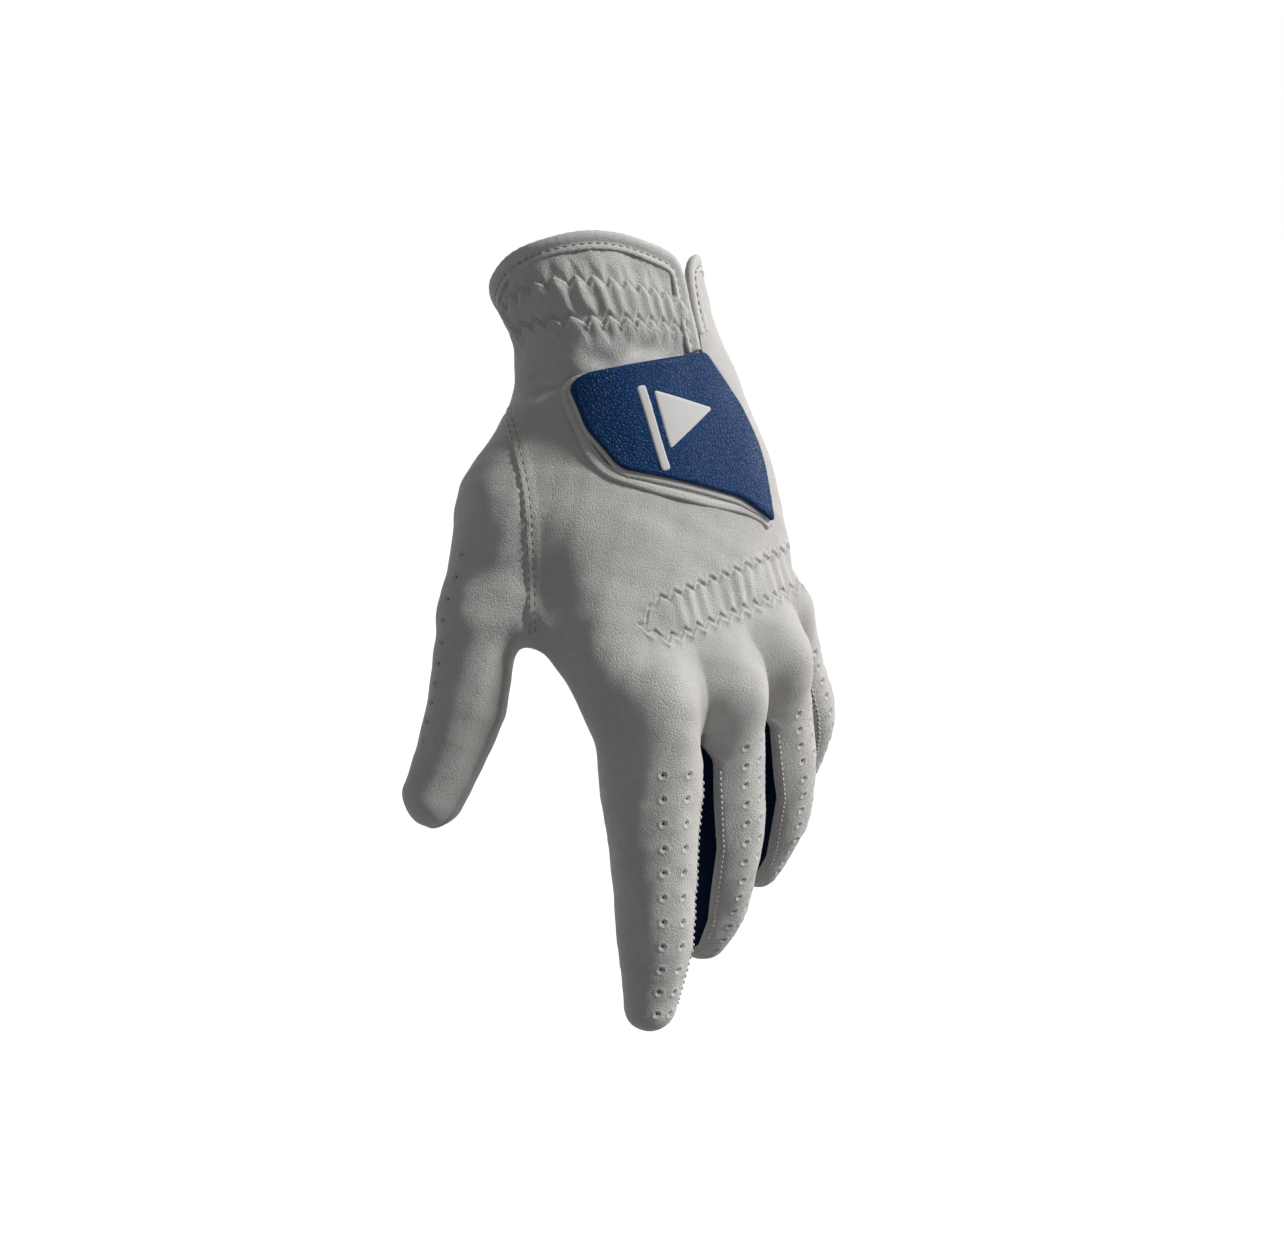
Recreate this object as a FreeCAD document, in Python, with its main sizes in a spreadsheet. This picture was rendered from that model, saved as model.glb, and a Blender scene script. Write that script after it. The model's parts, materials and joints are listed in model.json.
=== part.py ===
import FreeCAD, Part
import math
import os

# Left-hand golf glove as worn, with the hand itself left out.  Millimetres.
# Fingers point to -Z, the cuff is up at the origin, the back of the hand faces -Y,
# the thumb is on the -X side and the little finger on the +X side.

Vector = FreeCAD.Vector
FINGERS = ("index", "middle", "ring", "little")
SEGMENTS = ("base", "mid", "tip")
HAND_LEATHERS = ("back_leather", "palm_leather", "thumb_root_back")

# ---------------------------------------------------------------- driving dimensions

SIZES = {
    "leather": 1.0,            # thickness of the glove leather
    "elastic": 0.8,            # thickness of the elastics sewn inside
    "fold_margin": 2.0,        # spare angle at a joint, each side, in degrees
    "fold_gap": 0.2,           # spare length at a joint, each side
    "tool_reach": 16.0,        # radius of the wedge that opens a joint
    "sector_reach": 24.0,      # radius of the sector that cuts a panel from a tube
    "strip_span": 90.0,        # angle of a finger's back or palm strip
    "binding_rise": 1.0,       # rolled edge of the cuff
    "slit_width": 2.4,         # closure slit on the back of the wrist
    "slit_depth": 16.0,
    "slit_length": 96.0,
    "loop_rise": 0.8,          # hook-and-loop closure, as heights above the leather
    "border_rise": 1.5,
    "hook_low": 1.1,
    "hook_high": 1.7,
    "lining_high": 2.1,
    "tab_high": 3.2,
    "emblem_high": 3.6,
    "border_width": 2.2,
    "border_gap": 0.9,
    "web_long": 12.0,          # fork of a gusset between two fingers
    "web_thick": 1.2,
    "web_gap": 0.4,
    "web_least": 1.0,
}

# Each finger: knuckle place, sideways lean and roll, bends, lengths and radii.
FINGER_FIELDS = ("x", "y", "z", "lean", "roll", "bend_base", "bend_mid", "bend_tip",
                 "to_hinge", "long_base", "long_mid", "long_tip",
                 "rad_knuckle", "rad_hinge", "rad_mid", "rad_end", "rad_point")
FINGER_SIZES = {
    "index": (-29.5, -1, -122, -12, -5, 12, 3, 6, 25.5, 43, 25, 19, 13.6, 12.8, 12.0, 10.0, 7.8),
    "middle": (-6, -4, -125, 3, 0, 26, 11, 11, 24, 47, 29, 17, 11.6, 11.2, 10.8, 9.3, 7.6),
    "ring": (15, -3, -122.5, 12.5, 3, 28, 14, 12, 25.5, 44, 27, 16, 10.8, 10.4, 10.0, 8.8, 7.3),
    "little": (30, 3, -113, 24, 7, 27, 13, 12, 22, 36, 20, 15, 9.5, 9.2, 8.9, 8.0, 6.8),
}

# Flexion limits of each finger hinge in degrees from rest, straightening then bending.
HINGE_FIELDS = ("straighten", "flex")
HINGE_SIZES = {
    "root": (15.0, 40.0),
    "middle": (10.0, 60.0),
    "tip": (7.0, 40.0),
    "thumb": (12.0, 20.0),
}

# Thumb stations from the ball of the thumb to the tip: place and radius.
THUMB_FIELDS = ("x", "y", "z", "rad")
THUMB_SIZES = {
    "heel": (-12, 8, -38, 16.5),
    "ball": (-36, 18, -61, 15.5),
    "root": (-55, 26, -84, 12.0),
    "knuckle": (-63, 35, -108, 10.4),
    "point": (-77, 45, -129, 7.8),
}

# Hand sections from rim to web: centre, half width, half depth, tilt about Y.
SECTION_FIELDS = ("x", "y", "z", "wide", "deep", "tilt")
SECTION_SIZES = {
    "rim": (-1, 0, 0, 30, 22, 12),
    "wrist": (0, 0, -30, 29, 20.5, 4),
    "heelhand": (3, 2, -60, 35.5, 18.5, 0),
    "palm": (0, 3, -88, 38.5, 17, 0),
    "knuckles": (-4, 3, -116, 40.5, 15, -6),
    "web": (-4.5, 6, -138, 38, 11, -13),
}

# Outline corners of the closure tab seen square to the back of the hand: x, z.
TAB_OUTLINE = ((14.0, -34.5), (25.0, -50.0), (27.0, -86.0), (-20.0, -58.0), (-27.0, -50.0), (-27.0, -30.0))
HOOK_OUTLINE = ((4.0, -39.0), (12.0, -48.0), (10.0, -68.0), (-22.0, -49.0), (-22.0, -36.0))
EMBLEM_STICK = ((-8.6, -39.0), (-7.0, -39.0), (-7.0, -58.0), (-8.6, -58.0))
EMBLEM_FLAG = ((-7.0, -39.0), (7.0, -44.5), (-7.0, -50.0))
BORDER_SIDE = ((-40.0, -28.0), (-8.0, -28.0), (-8.0, -50.0), (18.0, -70.0), (18.0, -100.0), (-40.0, -100.0))
# Middle line of the closure slit, and the direction that its mouth faces.
SLIT_TOP = Vector(18.2, -18.6, 4.0)
SLIT_END = Vector(24.6, -12.4, -90.0)
SLIT_MOUTH = Vector(0.6, -0.8, 0.0)
DORSAL_REACH = 60.0
# Boxes that cut the skin into its panels and strips: side lengths, centre and tilt.
BLOCK_FIELDS = ("wide", "deep", "high", "x", "y", "z", "tilt")
BLOCK_SIZES = {
    "thumb_side": (60.0, 220.0, 100.0, -73.0, 0.0, -86.0, 16.7),
    "back_side": (220.0, 100.0, 220.0, 0.0, -43.9, -66.0, 2.3),
    "thumb_back_side": (220.0, 100.0, 220.0, 0.0, -31.0, -66.0, 0.0),
    "rim_band": (90.0, 90.0, 3.6, -1.0, 0.0, -0.4, 12.0),
    "beside_slit": (9.0, 40.0, 24.0, 19.6, -20.0, -19.4, 4.0),
    "ulnar_strip": (6.0, 30.0, 22.0, 27.4, -8.0, -22.5, 4.0),
    "elastic_back": (220.0, 60.0, 220.0, 0.0, -32.0, -66.0, 0.0),
    "wrist_upper_row": (46.0, 80.0, 5.0, -3.0, -20.0, -12.0, 16.0),
    "wrist_lower_row": (46.0, 80.0, 5.0, -3.0, -20.0, -21.0, 16.0),
    "knuckle_row": (56.0, 80.0, 11.0, 6.0, -20.0, -104.0, 0.0),
}
THUMB_BACK = Vector(-0.93, 0.37, 0.0)

doc = FreeCAD.newDocument("golf_glove")
sheet = doc.addObject("Spreadsheet::Sheet", "Sizes")


def fill_sheet():
    """Writes every driving dimension to the sheet, each with a word as its alias."""
    rows = dict(SIZES)
    tables = ((FINGER_SIZES, FINGER_FIELDS), (HINGE_SIZES, HINGE_FIELDS),
              (THUMB_SIZES, THUMB_FIELDS), (SECTION_SIZES, SECTION_FIELDS),
              (BLOCK_SIZES, BLOCK_FIELDS))
    for table, fields in tables:
        for name, values in table.items():
            prefix = "thumb_" + name if table is THUMB_SIZES else name
            rows.update({f"{prefix}_{field}": v for field, v in zip(fields, values)})
    for number, (alias, value) in enumerate(rows.items(), start=1):
        sheet.set(f"A{number}", alias)
        sheet.set(f"B{number}", str(value))
        sheet.setAlias(f"B{number}", alias)
    doc.recompute()


def size(alias):
    return float(sheet.get(alias))


def place(*aliases):
    return Vector(*(size(alias) for alias in aliases))


def bound(kind, name, placement=None, **expressions):
    """Adds an object whose properties follow the sheet."""
    obj = doc.addObject(kind, name)
    for prop, expression in expressions.items():
        obj.setExpression(prop, expression)
    if placement is not None:
        obj.Placement = placement
    return obj


def boolean(kind, name, base, tool):
    obj = doc.addObject("Part::" + kind, name)
    obj.Base = base
    obj.Tool = tool
    return obj


def cut(name, base, *tools):
    for number, tool in enumerate(tools[:-1]):
        base = boolean("Cut", f"{name}_cut{number}", base, tool)
    return boolean("Cut", name, base, tools[-1])


def common(name, base, tool):
    return boolean("Common", name, base, tool)


def fuse(name, shapes):
    obj = doc.addObject("Part::MultiFuse", name)
    obj.Shapes = shapes
    return obj


def axes(origin, along, start):
    """Placement with local Z along one direction and local X nearest to another."""
    along = Vector(along).normalize()
    side = along.cross(start).normalize()
    rotation = FreeCAD.Rotation(side.cross(along), side, along, "ZYX")
    return FreeCAD.Placement(origin, rotation)


def turned(direction, axis, degrees):
    return FreeCAD.Rotation(axis, degrees).multVec(direction)


# ---------------------------------------------------------------- tubes and joints


class Segment:
    """A straight stretch of a finger: where it starts and ends, and which way is its back."""

    def __init__(self, start, end, back, radii):
        self.start = start
        self.end = end
        self.back = back
        self.radii = radii
        self.direction = (end - start).normalize()
        self.length = (end - start).Length


def cone(name, segment, wall):
    """Solid of one stretch, with the leather's thickness taken off when wall is given."""
    low, high = segment.radii
    less = " - Sizes.leather" if wall else ""
    return bound("Part::Cone", name, axes(segment.start, segment.direction, segment.back),
                 Radius1=f"Sizes.{low}{less}", Radius2=f"Sizes.{high}{less}",
                 Height=f"{segment.length:.4f}")


def ball(name, centre, radius, wall):
    less = " - Sizes.leather" if wall else ""
    placement = FreeCAD.Placement(centre, FreeCAD.Rotation())
    return bound("Part::Sphere", name, placement, Radius=f"Sizes.{radius}{less}")


def hinge_wedge(name, pivot, axis, towards, half_width, kind, side):
    """Everything on the far side of a joint, so that two stretches fold without meeting.
    side is +1 for the stretch beyond the hinge and -1 for the stretch before it."""
    flex = size(kind + "_flex") / 2 + size("fold_margin")
    back = size(kind + "_straighten") / 2 + size("fold_margin")
    first = 90 - flex if side > 0 else 270 - back
    origin = pivot + towards * (side * size("fold_gap")) - axis * half_width
    placement = axes(origin, axis, turned(towards, axis, first))
    span = f"180 + (Sizes.{kind}_flex + Sizes.{kind}_straighten) / 2 + 2 * Sizes.fold_margin"
    return bound("Part::Cylinder", name, placement, Radius="Sizes.tool_reach",
                 Height=f"{2 * half_width:.4f}", Angle=span)


def sector(name, segment, first, span):
    """Pie slice round a stretch: first is its start, in degrees from the back of the finger
    towards the thumb side."""
    reach = size("sector_reach")
    start = turned(segment.back, segment.direction, first)
    origin = segment.start - segment.direction * reach
    return bound("Part::Cylinder", name, axes(origin, segment.direction, start),
                 Radius="Sizes.sector_reach", Angle=span,
                 Height=f"{segment.length + 2 * reach:.4f}")


def tube(name, segment, wedges, closed):
    """Leather tube of one stretch, trimmed at its joints and round at the fingertip."""
    outer = cone(name + "_outer", segment, False)
    inner = cone(name + "_inner", segment, True)
    if closed:
        radius = segment.radii[1]
        outer = fuse(name + "_capped", [outer, ball(name + "_cap", segment.end, radius, False)])
        inner = fuse(name + "_hollow", [inner, ball(name + "_room", segment.end, radius, True)])
    return cut(name + "_tube", outer, inner, *wedges)


def finger_points(finger):
    """Knuckle, root hinge, middle hinge, tip hinge and fingertip, with the side axis."""
    lean = FreeCAD.Rotation(Vector(0, 1, 0), -size(finger + "_lean"))
    roll = FreeCAD.Rotation(Vector(0, 0, 1), size(finger + "_roll"))
    turn = lean.multiply(roll)
    axis = turn.multVec(Vector(1, 0, 0))
    down = turn.multVec(Vector(0, 0, -1))
    points = [place(finger + "_x", finger + "_y", finger + "_z")]
    bend = size(finger + "_bend_base")
    direction = turned(down, axis, bend)
    points.append(points[0] + direction * size(finger + "_to_hinge"))
    points.append(points[0] + direction * size(finger + "_long_base"))
    for part in ("mid", "tip"):
        bend += size(f"{finger}_bend_{part}")
        points.append(points[-1] + turned(down, axis, bend) * size(f"{finger}_long_{part}"))
    return points, axis


def finger_segments(finger):
    points, axis = finger_points(finger)
    radii = [f"{finger}_rad_{part}" for part in ("knuckle", "hinge", "mid", "end", "point")]
    segments = []
    for number in range(4):
        along = (points[number + 1] - points[number]).normalize()
        back = along.cross(axis).normalize()
        segments.append(Segment(points[number], points[number + 1], back,
                                (radii[number], radii[number + 1])))
    return segments, axis


def joint_wedges(name, before, after, axis, half_width, kind):
    """The wedge for the stretch before a hinge and the one for the stretch after it."""
    towards = (before.direction + after.direction).normalize()
    return [hinge_wedge(f"{name}_{word}", after.start, axis, towards, half_width, kind, side)
            for word, side in (("near", -1), ("far", 1))]


def finger_panels(finger):
    """Start angle and span of each panel round a finger: strips and side gussets."""
    strip = "Sizes.strip_span"
    if finger == "index":
        return {"leather": (-45, "360 - " + strip), "gusset": (225, strip)}
    if finger == "little":
        return {"gusset": (45, strip), "leather": (135, "360 - " + strip)}
    return {"back": (-45, strip), "thumbside_gusset": (45, strip),
            "palm": (135, strip), "outer_gusset": (225, strip)}


def make_finger(finger):
    """Panels of the three moving stretches, and the wedge that opens the hand at the root."""
    segments, axis = finger_segments(finger)
    half_width = size(finger + "_rad_knuckle") + 0.6
    wedges = [joint_wedges(f"{finger}_{kind}", segments[n], segments[n + 1], axis,
                           half_width, kind) for n, kind in enumerate(HINGE_SIZES) if n < 3]
    nodes = []
    for number, part in enumerate(SEGMENTS):
        segment = segments[number + 1]
        trims = [wedges[number][1]]
        if number < 2:
            trims.append(wedges[number + 1][0])
        shell = tube(f"{finger}_{part}", segment, trims, number == 2)
        for panel, (first, span) in finger_panels(finger).items():
            name = f"{finger}_{part}_{panel}"
            piece = common(name, shell, sector(name + "_sector", segment, first, span))
            nodes.append((name, piece))
    return nodes, segments[0], wedges[0][0]


def thumb_segments():
    stations = [place(*(f"thumb_{name}_{c}" for c in "xyz")) for name in THUMB_SIZES]
    radii = [f"thumb_{name}_rad" for name in THUMB_SIZES]
    segments = []
    for number in range(4):
        along = (stations[number + 1] - stations[number]).normalize()
        back = (THUMB_BACK - along * THUMB_BACK.dot(along)).normalize()
        segments.append(Segment(stations[number], stations[number + 1], back,
                                (radii[number], radii[number + 1])))
    return segments


def thumb_axis(segments):
    """Side axis of the thumb's two hinges: positive turns close the thumb on the fingers."""
    return segments[2].back.cross(segments[2].direction).normalize()


def make_thumb():
    segments = thumb_segments()
    axis = thumb_axis(segments)
    half_width = size("thumb_root_rad") + 1.5
    root = joint_wedges("thumb_root_fold", segments[1], segments[2], axis, half_width, "thumb")
    tip = joint_wedges("thumb_tip_fold", segments[2], segments[3], axis, half_width, "thumb")
    nodes = []
    for part, segment, trims in (("base", segments[2], [root[1], tip[0]]),
                                 ("tip", segments[3], [tip[1]])):
        shell = tube(f"thumb_{part}", segment, trims, part == "tip")
        for panel, first in (("back", -90), ("palm", 90)):
            name = f"thumb_{part}_{panel}"
            slice_tool = sector(name + "_sector", segment, first, "180")
            nodes.append((name, common(name, shell, slice_tool)))
    return nodes, segments[:2], root[0]


# ---------------------------------------------------------------- the hand


def hand_loft(name, offset):
    """Closed form of the hand from rim to web, grown by an offset given as an expression."""
    rings = []
    for section in SECTION_SIZES:
        rotation = FreeCAD.Rotation(Vector(0, 1, 0), size(section + "_tilt"))
        centre = place(*(f"{section}_{c}" for c in "xyz"))
        if section == "web" and offset.startswith("-"):
            centre.z += size("leather")
        rings.append(bound("Part::Ellipse", f"{name}_{section}",
                           FreeCAD.Placement(centre, rotation),
                           MajorRadius=f"Sizes.{section}_wide + {offset}",
                           MinorRadius=f"Sizes.{section}_deep + {offset}"))
    loft = doc.addObject("Part::Loft", name)
    loft.Sections = rings
    loft.Solid = True
    return loft


def shell_between(name, low, high):
    """Thin skin of the hand between two offsets."""
    return cut(name, hand_loft(name + "_high", high), hand_loft(name + "_low", low))


def block(name, axis=Vector(0, 1, 0)):
    """One box of the table, tilted about Y unless another axis is given."""
    lengths = place(name + "_wide", name + "_deep", name + "_high")
    rotation = FreeCAD.Rotation(axis, size(name + "_tilt"))
    corner = place(name + "_x", name + "_y", name + "_z") - rotation.multVec(lengths * 0.5)
    return bound("Part::Box", name, FreeCAD.Placement(corner, rotation), Length=f"Sizes.{name}_wide",
                 Width=f"Sizes.{name}_deep", Height=f"Sizes.{name}_high")


def dorsal_prism(name, outline):
    """An outline in x and z, extended over the back of the hand."""
    wire = Part.makePolygon([Vector(x, 0, z) for x, z in outline + outline[:1]])
    prism = doc.addObject("Part::Feature", name)
    prism.Shape = Part.Face(wire).extrude(Vector(0, -DORSAL_REACH, 0))
    return prism


def grown(outline, distance):
    """The outline moved outwards by a distance, with sharp corners kept."""
    wire = Part.makePolygon([Vector(x, 0, z) for x, z in outline + outline[:1]])
    offset = wire.makeOffset2D(distance, join=2)
    points = [v.Point for v in offset.OrderedVertexes]
    return tuple((p.x, p.z) for p in points)


def thumb_loft(name, segments, wall):
    """Solid ball of the thumb, from inside the hand to the thumb's root hinge."""
    first, last = segments
    bend = first.direction + last.direction
    stations = ((first.start, first.direction, first.radii[0]),
                (last.start, bend, last.radii[0]), (last.end, last.direction, last.radii[1]))
    less = " - Sizes.leather" if wall else ""
    rings = [bound("Part::Circle", f"{name}_{number}", axes(centre, along, THUMB_BACK),
                   Radius=f"Sizes.{radius}{less}")
             for number, (centre, along, radius) in enumerate(stations)]
    loft = doc.addObject("Part::Loft", name)
    loft.Sections = rings
    loft.Solid = True
    return loft


def slit_tool():
    """The closure slit: from the rim down the back of the wrist beside the little finger."""
    slit = bound("Part::Box", "slit", None, Length="Sizes.slit_width",
                 Width="Sizes.slit_depth", Height="Sizes.slit_length")
    down = (SLIT_END - SLIT_TOP).normalize()
    side = down.cross(SLIT_MOUTH).normalize()
    rotation = FreeCAD.Rotation(side, SLIT_MOUTH, down, "ZXY")
    width = rotation.multVec(Vector(1, 0, 0)) * size("slit_width")
    depth = rotation.multVec(Vector(0, 1, 0)) * size("slit_depth")
    slit.Placement = FreeCAD.Placement(SLIT_TOP - (width + depth) * 0.5, rotation)
    return slit


def make_hand(stubs, stub_wedges, thumb_stubs):
    """Back, palm and thumb-root leather: one hollow skin cut at the seams."""
    solids = {}
    for word, wall, offset in (("outer", False, "0"), ("inner", True, "-Sizes.leather")):
        shapes = [hand_loft("hand_" + word, offset)]
        for name, segment in stubs:
            shapes.append(cone(f"{name}_stub_{word}", segment, wall))
            shapes.append(ball(f"{name}_knuckle_{word}", segment.start, segment.radii[0], wall))
        shapes.append(thumb_loft("thumb_stub_" + word, thumb_stubs, wall))
        solids[word] = fuse("hand_solid_" + word, shapes)
    skin = cut("hand_skin", solids["outer"], solids["inner"], *stub_wedges)
    thumb_side = block("thumb_side")
    back_side = block("back_side", Vector(1, 0, 0))
    thumb_back = block("thumb_back_side")
    thumb_only = common("thumb_panels", skin, thumb_side)
    back_half = common("back_half", skin, back_side)
    return [("back_leather", cut("back_leather", back_half, thumb_side, slit_tool())),
            ("palm_leather", cut("palm_leather", skin, back_side, thumb_side)),
            ("thumb_root_back", common("thumb_root_back", thumb_only, thumb_back)),
            ("thumb_root_palm", cut("thumb_root_palm", thumb_only, thumb_back))]


def make_cuff():
    """Rolled binding at the rim, the slit's bound edges and the elastics sewn inside."""
    slit = doc.getObject("slit")
    edge = shell_between("edge_skin", "0", "Sizes.binding_rise")
    rim, beside_slit, ulnar_strip = block("rim_band"), block("beside_slit"), block("ulnar_strip")
    elastic = shell_between("elastic_skin", "-Sizes.leather - Sizes.elastic", "-Sizes.leather")
    elastic_back = cut("elastic_half", common("elastic_dorsal", elastic, block("elastic_back")), slit)
    nodes = [("cuff_binding", cut("cuff_binding", common("cuff_ring", edge, rim), slit)),
             ("slit_binding", cut("slit_binding", common("slit_edges", edge, beside_slit), slit)),
             ("closure_flap", common("closure_flap", edge, ulnar_strip))]
    rows = (("wrist_elastic_upper", "wrist_upper_row"), ("wrist_elastic_lower", "wrist_lower_row"),
            ("knuckle_elastic", "knuckle_row"))
    for name, row in rows:
        nodes.append((name, common(name, elastic_back, block(row))))
    return nodes


def make_closure(leathers):
    """The loop pad and its border on the hand, and the layers of the closure tab."""
    slit = doc.getObject("slit")
    layers = (("hook_pad", "hook_low", "hook_high", HOOK_OUTLINE),
              ("tab_lining", "hook_high", "lining_high", TAB_OUTLINE),
              ("tab_leather", "lining_high", "tab_high", TAB_OUTLINE))
    moving = []
    for name, low, high, outline in layers:
        skin = shell_between(name + "_skin", "Sizes." + low, "Sizes." + high)
        moving.append((name, common(name, skin, dorsal_prism(name + "_prism", outline))))
    emblem_skin = shell_between("emblem_skin", "Sizes.tab_high", "Sizes.emblem_high")
    emblem = fuse("emblem_shape", [dorsal_prism("emblem_stick", EMBLEM_STICK),
                                   dorsal_prism("emblem_flag", EMBLEM_FLAG)])
    moving.append(("tab_emblem", common("tab_emblem", emblem_skin, emblem)))
    loop_skin = shell_between("loop_skin", "0", "Sizes.loop_rise")
    loop = common("landing_cut", loop_skin, dorsal_prism("landing_prism", HOOK_OUTLINE))
    gap = size("border_gap")
    ring_out = dorsal_prism("border_out", grown(TAB_OUTLINE, gap + size("border_width")))
    ring_in = dorsal_prism("border_in", grown(TAB_OUTLINE, gap))
    side = dorsal_prism("border_side", BORDER_SIDE)
    border_skin = shell_between("border_skin", "0", "Sizes.border_rise")
    ring = common("border_ring", common("border_band", border_skin, ring_out), side)
    fixed = [("landing_pad", cut("landing_pad", loop, slit, *leathers)),
             ("landing_border", cut("landing_border", ring, ring_in, *leathers))]
    return fixed, moving


def make_web_gussets(leathers):
    """The fork of each gusset, where two fingers part."""
    nodes = []
    for first, second in zip(FINGERS, FINGERS[1:]):
        near, far = finger_segments(first)[0][0], finger_segments(second)[0][0]
        middle = (near.end + far.end) * 0.5
        across = (far.end - near.end).normalize()
        down = (near.direction + far.direction).normalize()
        gap = (far.end - near.end).Length - size(near.radii[1]) - size(far.radii[1])
        name = f"{first}_{second}_web"
        strip = doc.addObject("Part::Box", name + "_strip")
        wide = max(gap - 2 * size("web_gap"), size("web_least"))
        long = size("web_long")
        strip.Length, strip.Width, strip.Height = wide, long, size("web_thick")
        placement = axes(middle - down * (long / 2), down, across)
        corner = placement.multVec(Vector(-wide / 2, -long / 2, 0))
        strip.Placement = FreeCAD.Placement(corner, placement.Rotation)
        nodes.append((name, cut(name, strip, *leathers)))
    return nodes


# ---------------------------------------------------------------- build and export


def build():
    """Makes every sub-part and returns name and object pairs."""
    nodes, stubs, wedges = [], [], []
    for finger in FINGERS:
        pieces, stub, wedge = make_finger(finger)
        nodes += pieces
        stubs.append((finger, stub))
        wedges.append(wedge)
    thumb_nodes, thumb_stubs, thumb_wedge = make_thumb()
    nodes += thumb_nodes
    hand = make_hand(stubs, wedges + [thumb_wedge], thumb_stubs)
    leathers = [obj for name, obj in hand if name in HAND_LEATHERS]
    nodes += hand + make_cuff()
    fixed, moving = make_closure(leathers)
    nodes += fixed + moving + make_web_gussets(leathers)
    return nodes


def export(nodes):
    """Checks every object, then writes each sub-part to its own file."""
    doc.recompute()
    for obj in doc.Objects:
        if {"Invalid", "Error"} & set(obj.State):
            raise RuntimeError(f"{obj.Name} failed: {obj.State}")
    os.makedirs("parts", exist_ok=True)
    for name, obj in nodes:
        obj.Label = name
        shape = obj.Shape
        if shape.isNull() or not shape.isValid() or not shape.Solids:
            raise RuntimeError(f"{name} has no valid solid")
        shape.exportStep(f"parts/{name}.step")
        print(f"{name}: {len(shape.Solids)} solids, {shape.Volume:.1f} mm3")


fill_sheet()
export(build())
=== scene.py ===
import json
import math

import bpy
import numpy as np
from mathutils import Matrix, Vector


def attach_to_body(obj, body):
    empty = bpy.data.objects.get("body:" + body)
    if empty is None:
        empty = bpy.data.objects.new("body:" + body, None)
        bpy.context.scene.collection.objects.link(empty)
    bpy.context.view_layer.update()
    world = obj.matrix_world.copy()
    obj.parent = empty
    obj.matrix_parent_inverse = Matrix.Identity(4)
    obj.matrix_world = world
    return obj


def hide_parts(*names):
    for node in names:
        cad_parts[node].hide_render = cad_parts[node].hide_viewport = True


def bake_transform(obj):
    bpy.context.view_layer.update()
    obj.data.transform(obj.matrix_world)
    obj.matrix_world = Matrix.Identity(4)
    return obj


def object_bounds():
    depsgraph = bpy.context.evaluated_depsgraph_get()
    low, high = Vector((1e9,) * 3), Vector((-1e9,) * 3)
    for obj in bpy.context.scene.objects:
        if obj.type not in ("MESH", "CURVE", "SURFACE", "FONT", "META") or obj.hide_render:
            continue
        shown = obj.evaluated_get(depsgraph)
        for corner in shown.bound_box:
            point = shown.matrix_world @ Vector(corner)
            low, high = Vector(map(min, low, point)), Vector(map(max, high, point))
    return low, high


# Left-hand golf glove.  Lengths are millimetres until a mesh is made, then metres.
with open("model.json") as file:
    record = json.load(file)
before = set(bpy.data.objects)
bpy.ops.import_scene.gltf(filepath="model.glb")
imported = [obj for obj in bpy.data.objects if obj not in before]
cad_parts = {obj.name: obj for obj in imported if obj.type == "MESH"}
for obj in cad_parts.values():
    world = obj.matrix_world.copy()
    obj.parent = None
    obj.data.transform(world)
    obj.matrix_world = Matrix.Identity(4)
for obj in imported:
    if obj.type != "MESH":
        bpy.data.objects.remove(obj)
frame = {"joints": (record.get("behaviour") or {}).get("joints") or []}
CAD_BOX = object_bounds()

MM = 0.001
FINGERS = ("index", "middle", "ring", "little")
LEATHER_THICK = 0.9
INNER_DROP = 0.2


# ---------------------------------------------------------------- small tools


def unit(v):
    v = np.asarray(v, float)
    return v / np.linalg.norm(v)


def turned(v, axis, degrees):
    """v turned about a unit axis by the right-hand rule."""
    t = math.radians(degrees)
    return v * math.cos(t) + np.cross(axis, v) * math.sin(t) + axis * (axis @ v) * (1 - math.cos(t))


def smooth_min(a, b, k):
    h = np.maximum(k - np.abs(a - b), 0) / k
    return np.minimum(a, b) - h * h * k / 4


def smooth_max(a, b, k):
    return -smooth_min(-a, -b, k)


def ease(x, low, high):
    """0 below low, 1 above high, smooth between."""
    t = np.clip((x - low) / (high - low), 0, 1)
    return t * t * (3 - 2 * t)


def bump(x, width):
    """A round hump of height 1 at x = 0."""
    return np.exp(-((x / width) ** 2))


def interpolated(at, place, rows):
    """Rows of numbers read off at some places along a run."""
    return np.stack([np.interp(at, place, column) for column in rows.T], 1)


def run_places(points):
    """How far along a run of points each of them lies."""
    steps = np.linalg.norm(np.diff(points, axis=0), axis=1)
    return np.concatenate([[0], np.cumsum(steps)])


def ripple(p, size, seed, count=7):
    """A smooth random field between about -1 and 1, with features of the given size."""
    rng = np.random.default_rng(seed)
    total = np.zeros(len(p))
    for _ in range(count):
        way = rng.normal(size=3)
        way *= rng.uniform(0.7, 1.4) * 2 * math.pi / (size * np.linalg.norm(way))
        total += np.sin(p @ way + rng.uniform(0, 2 * math.pi))
    return total / math.sqrt(count)


# ---------------------------------------------------------------- skeleton

JOINTS = {j["name"]: j for j in frame["joints"]}


def pivot(joint):
    return np.array(JOINTS[joint]["pos_m"]) / MM


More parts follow.
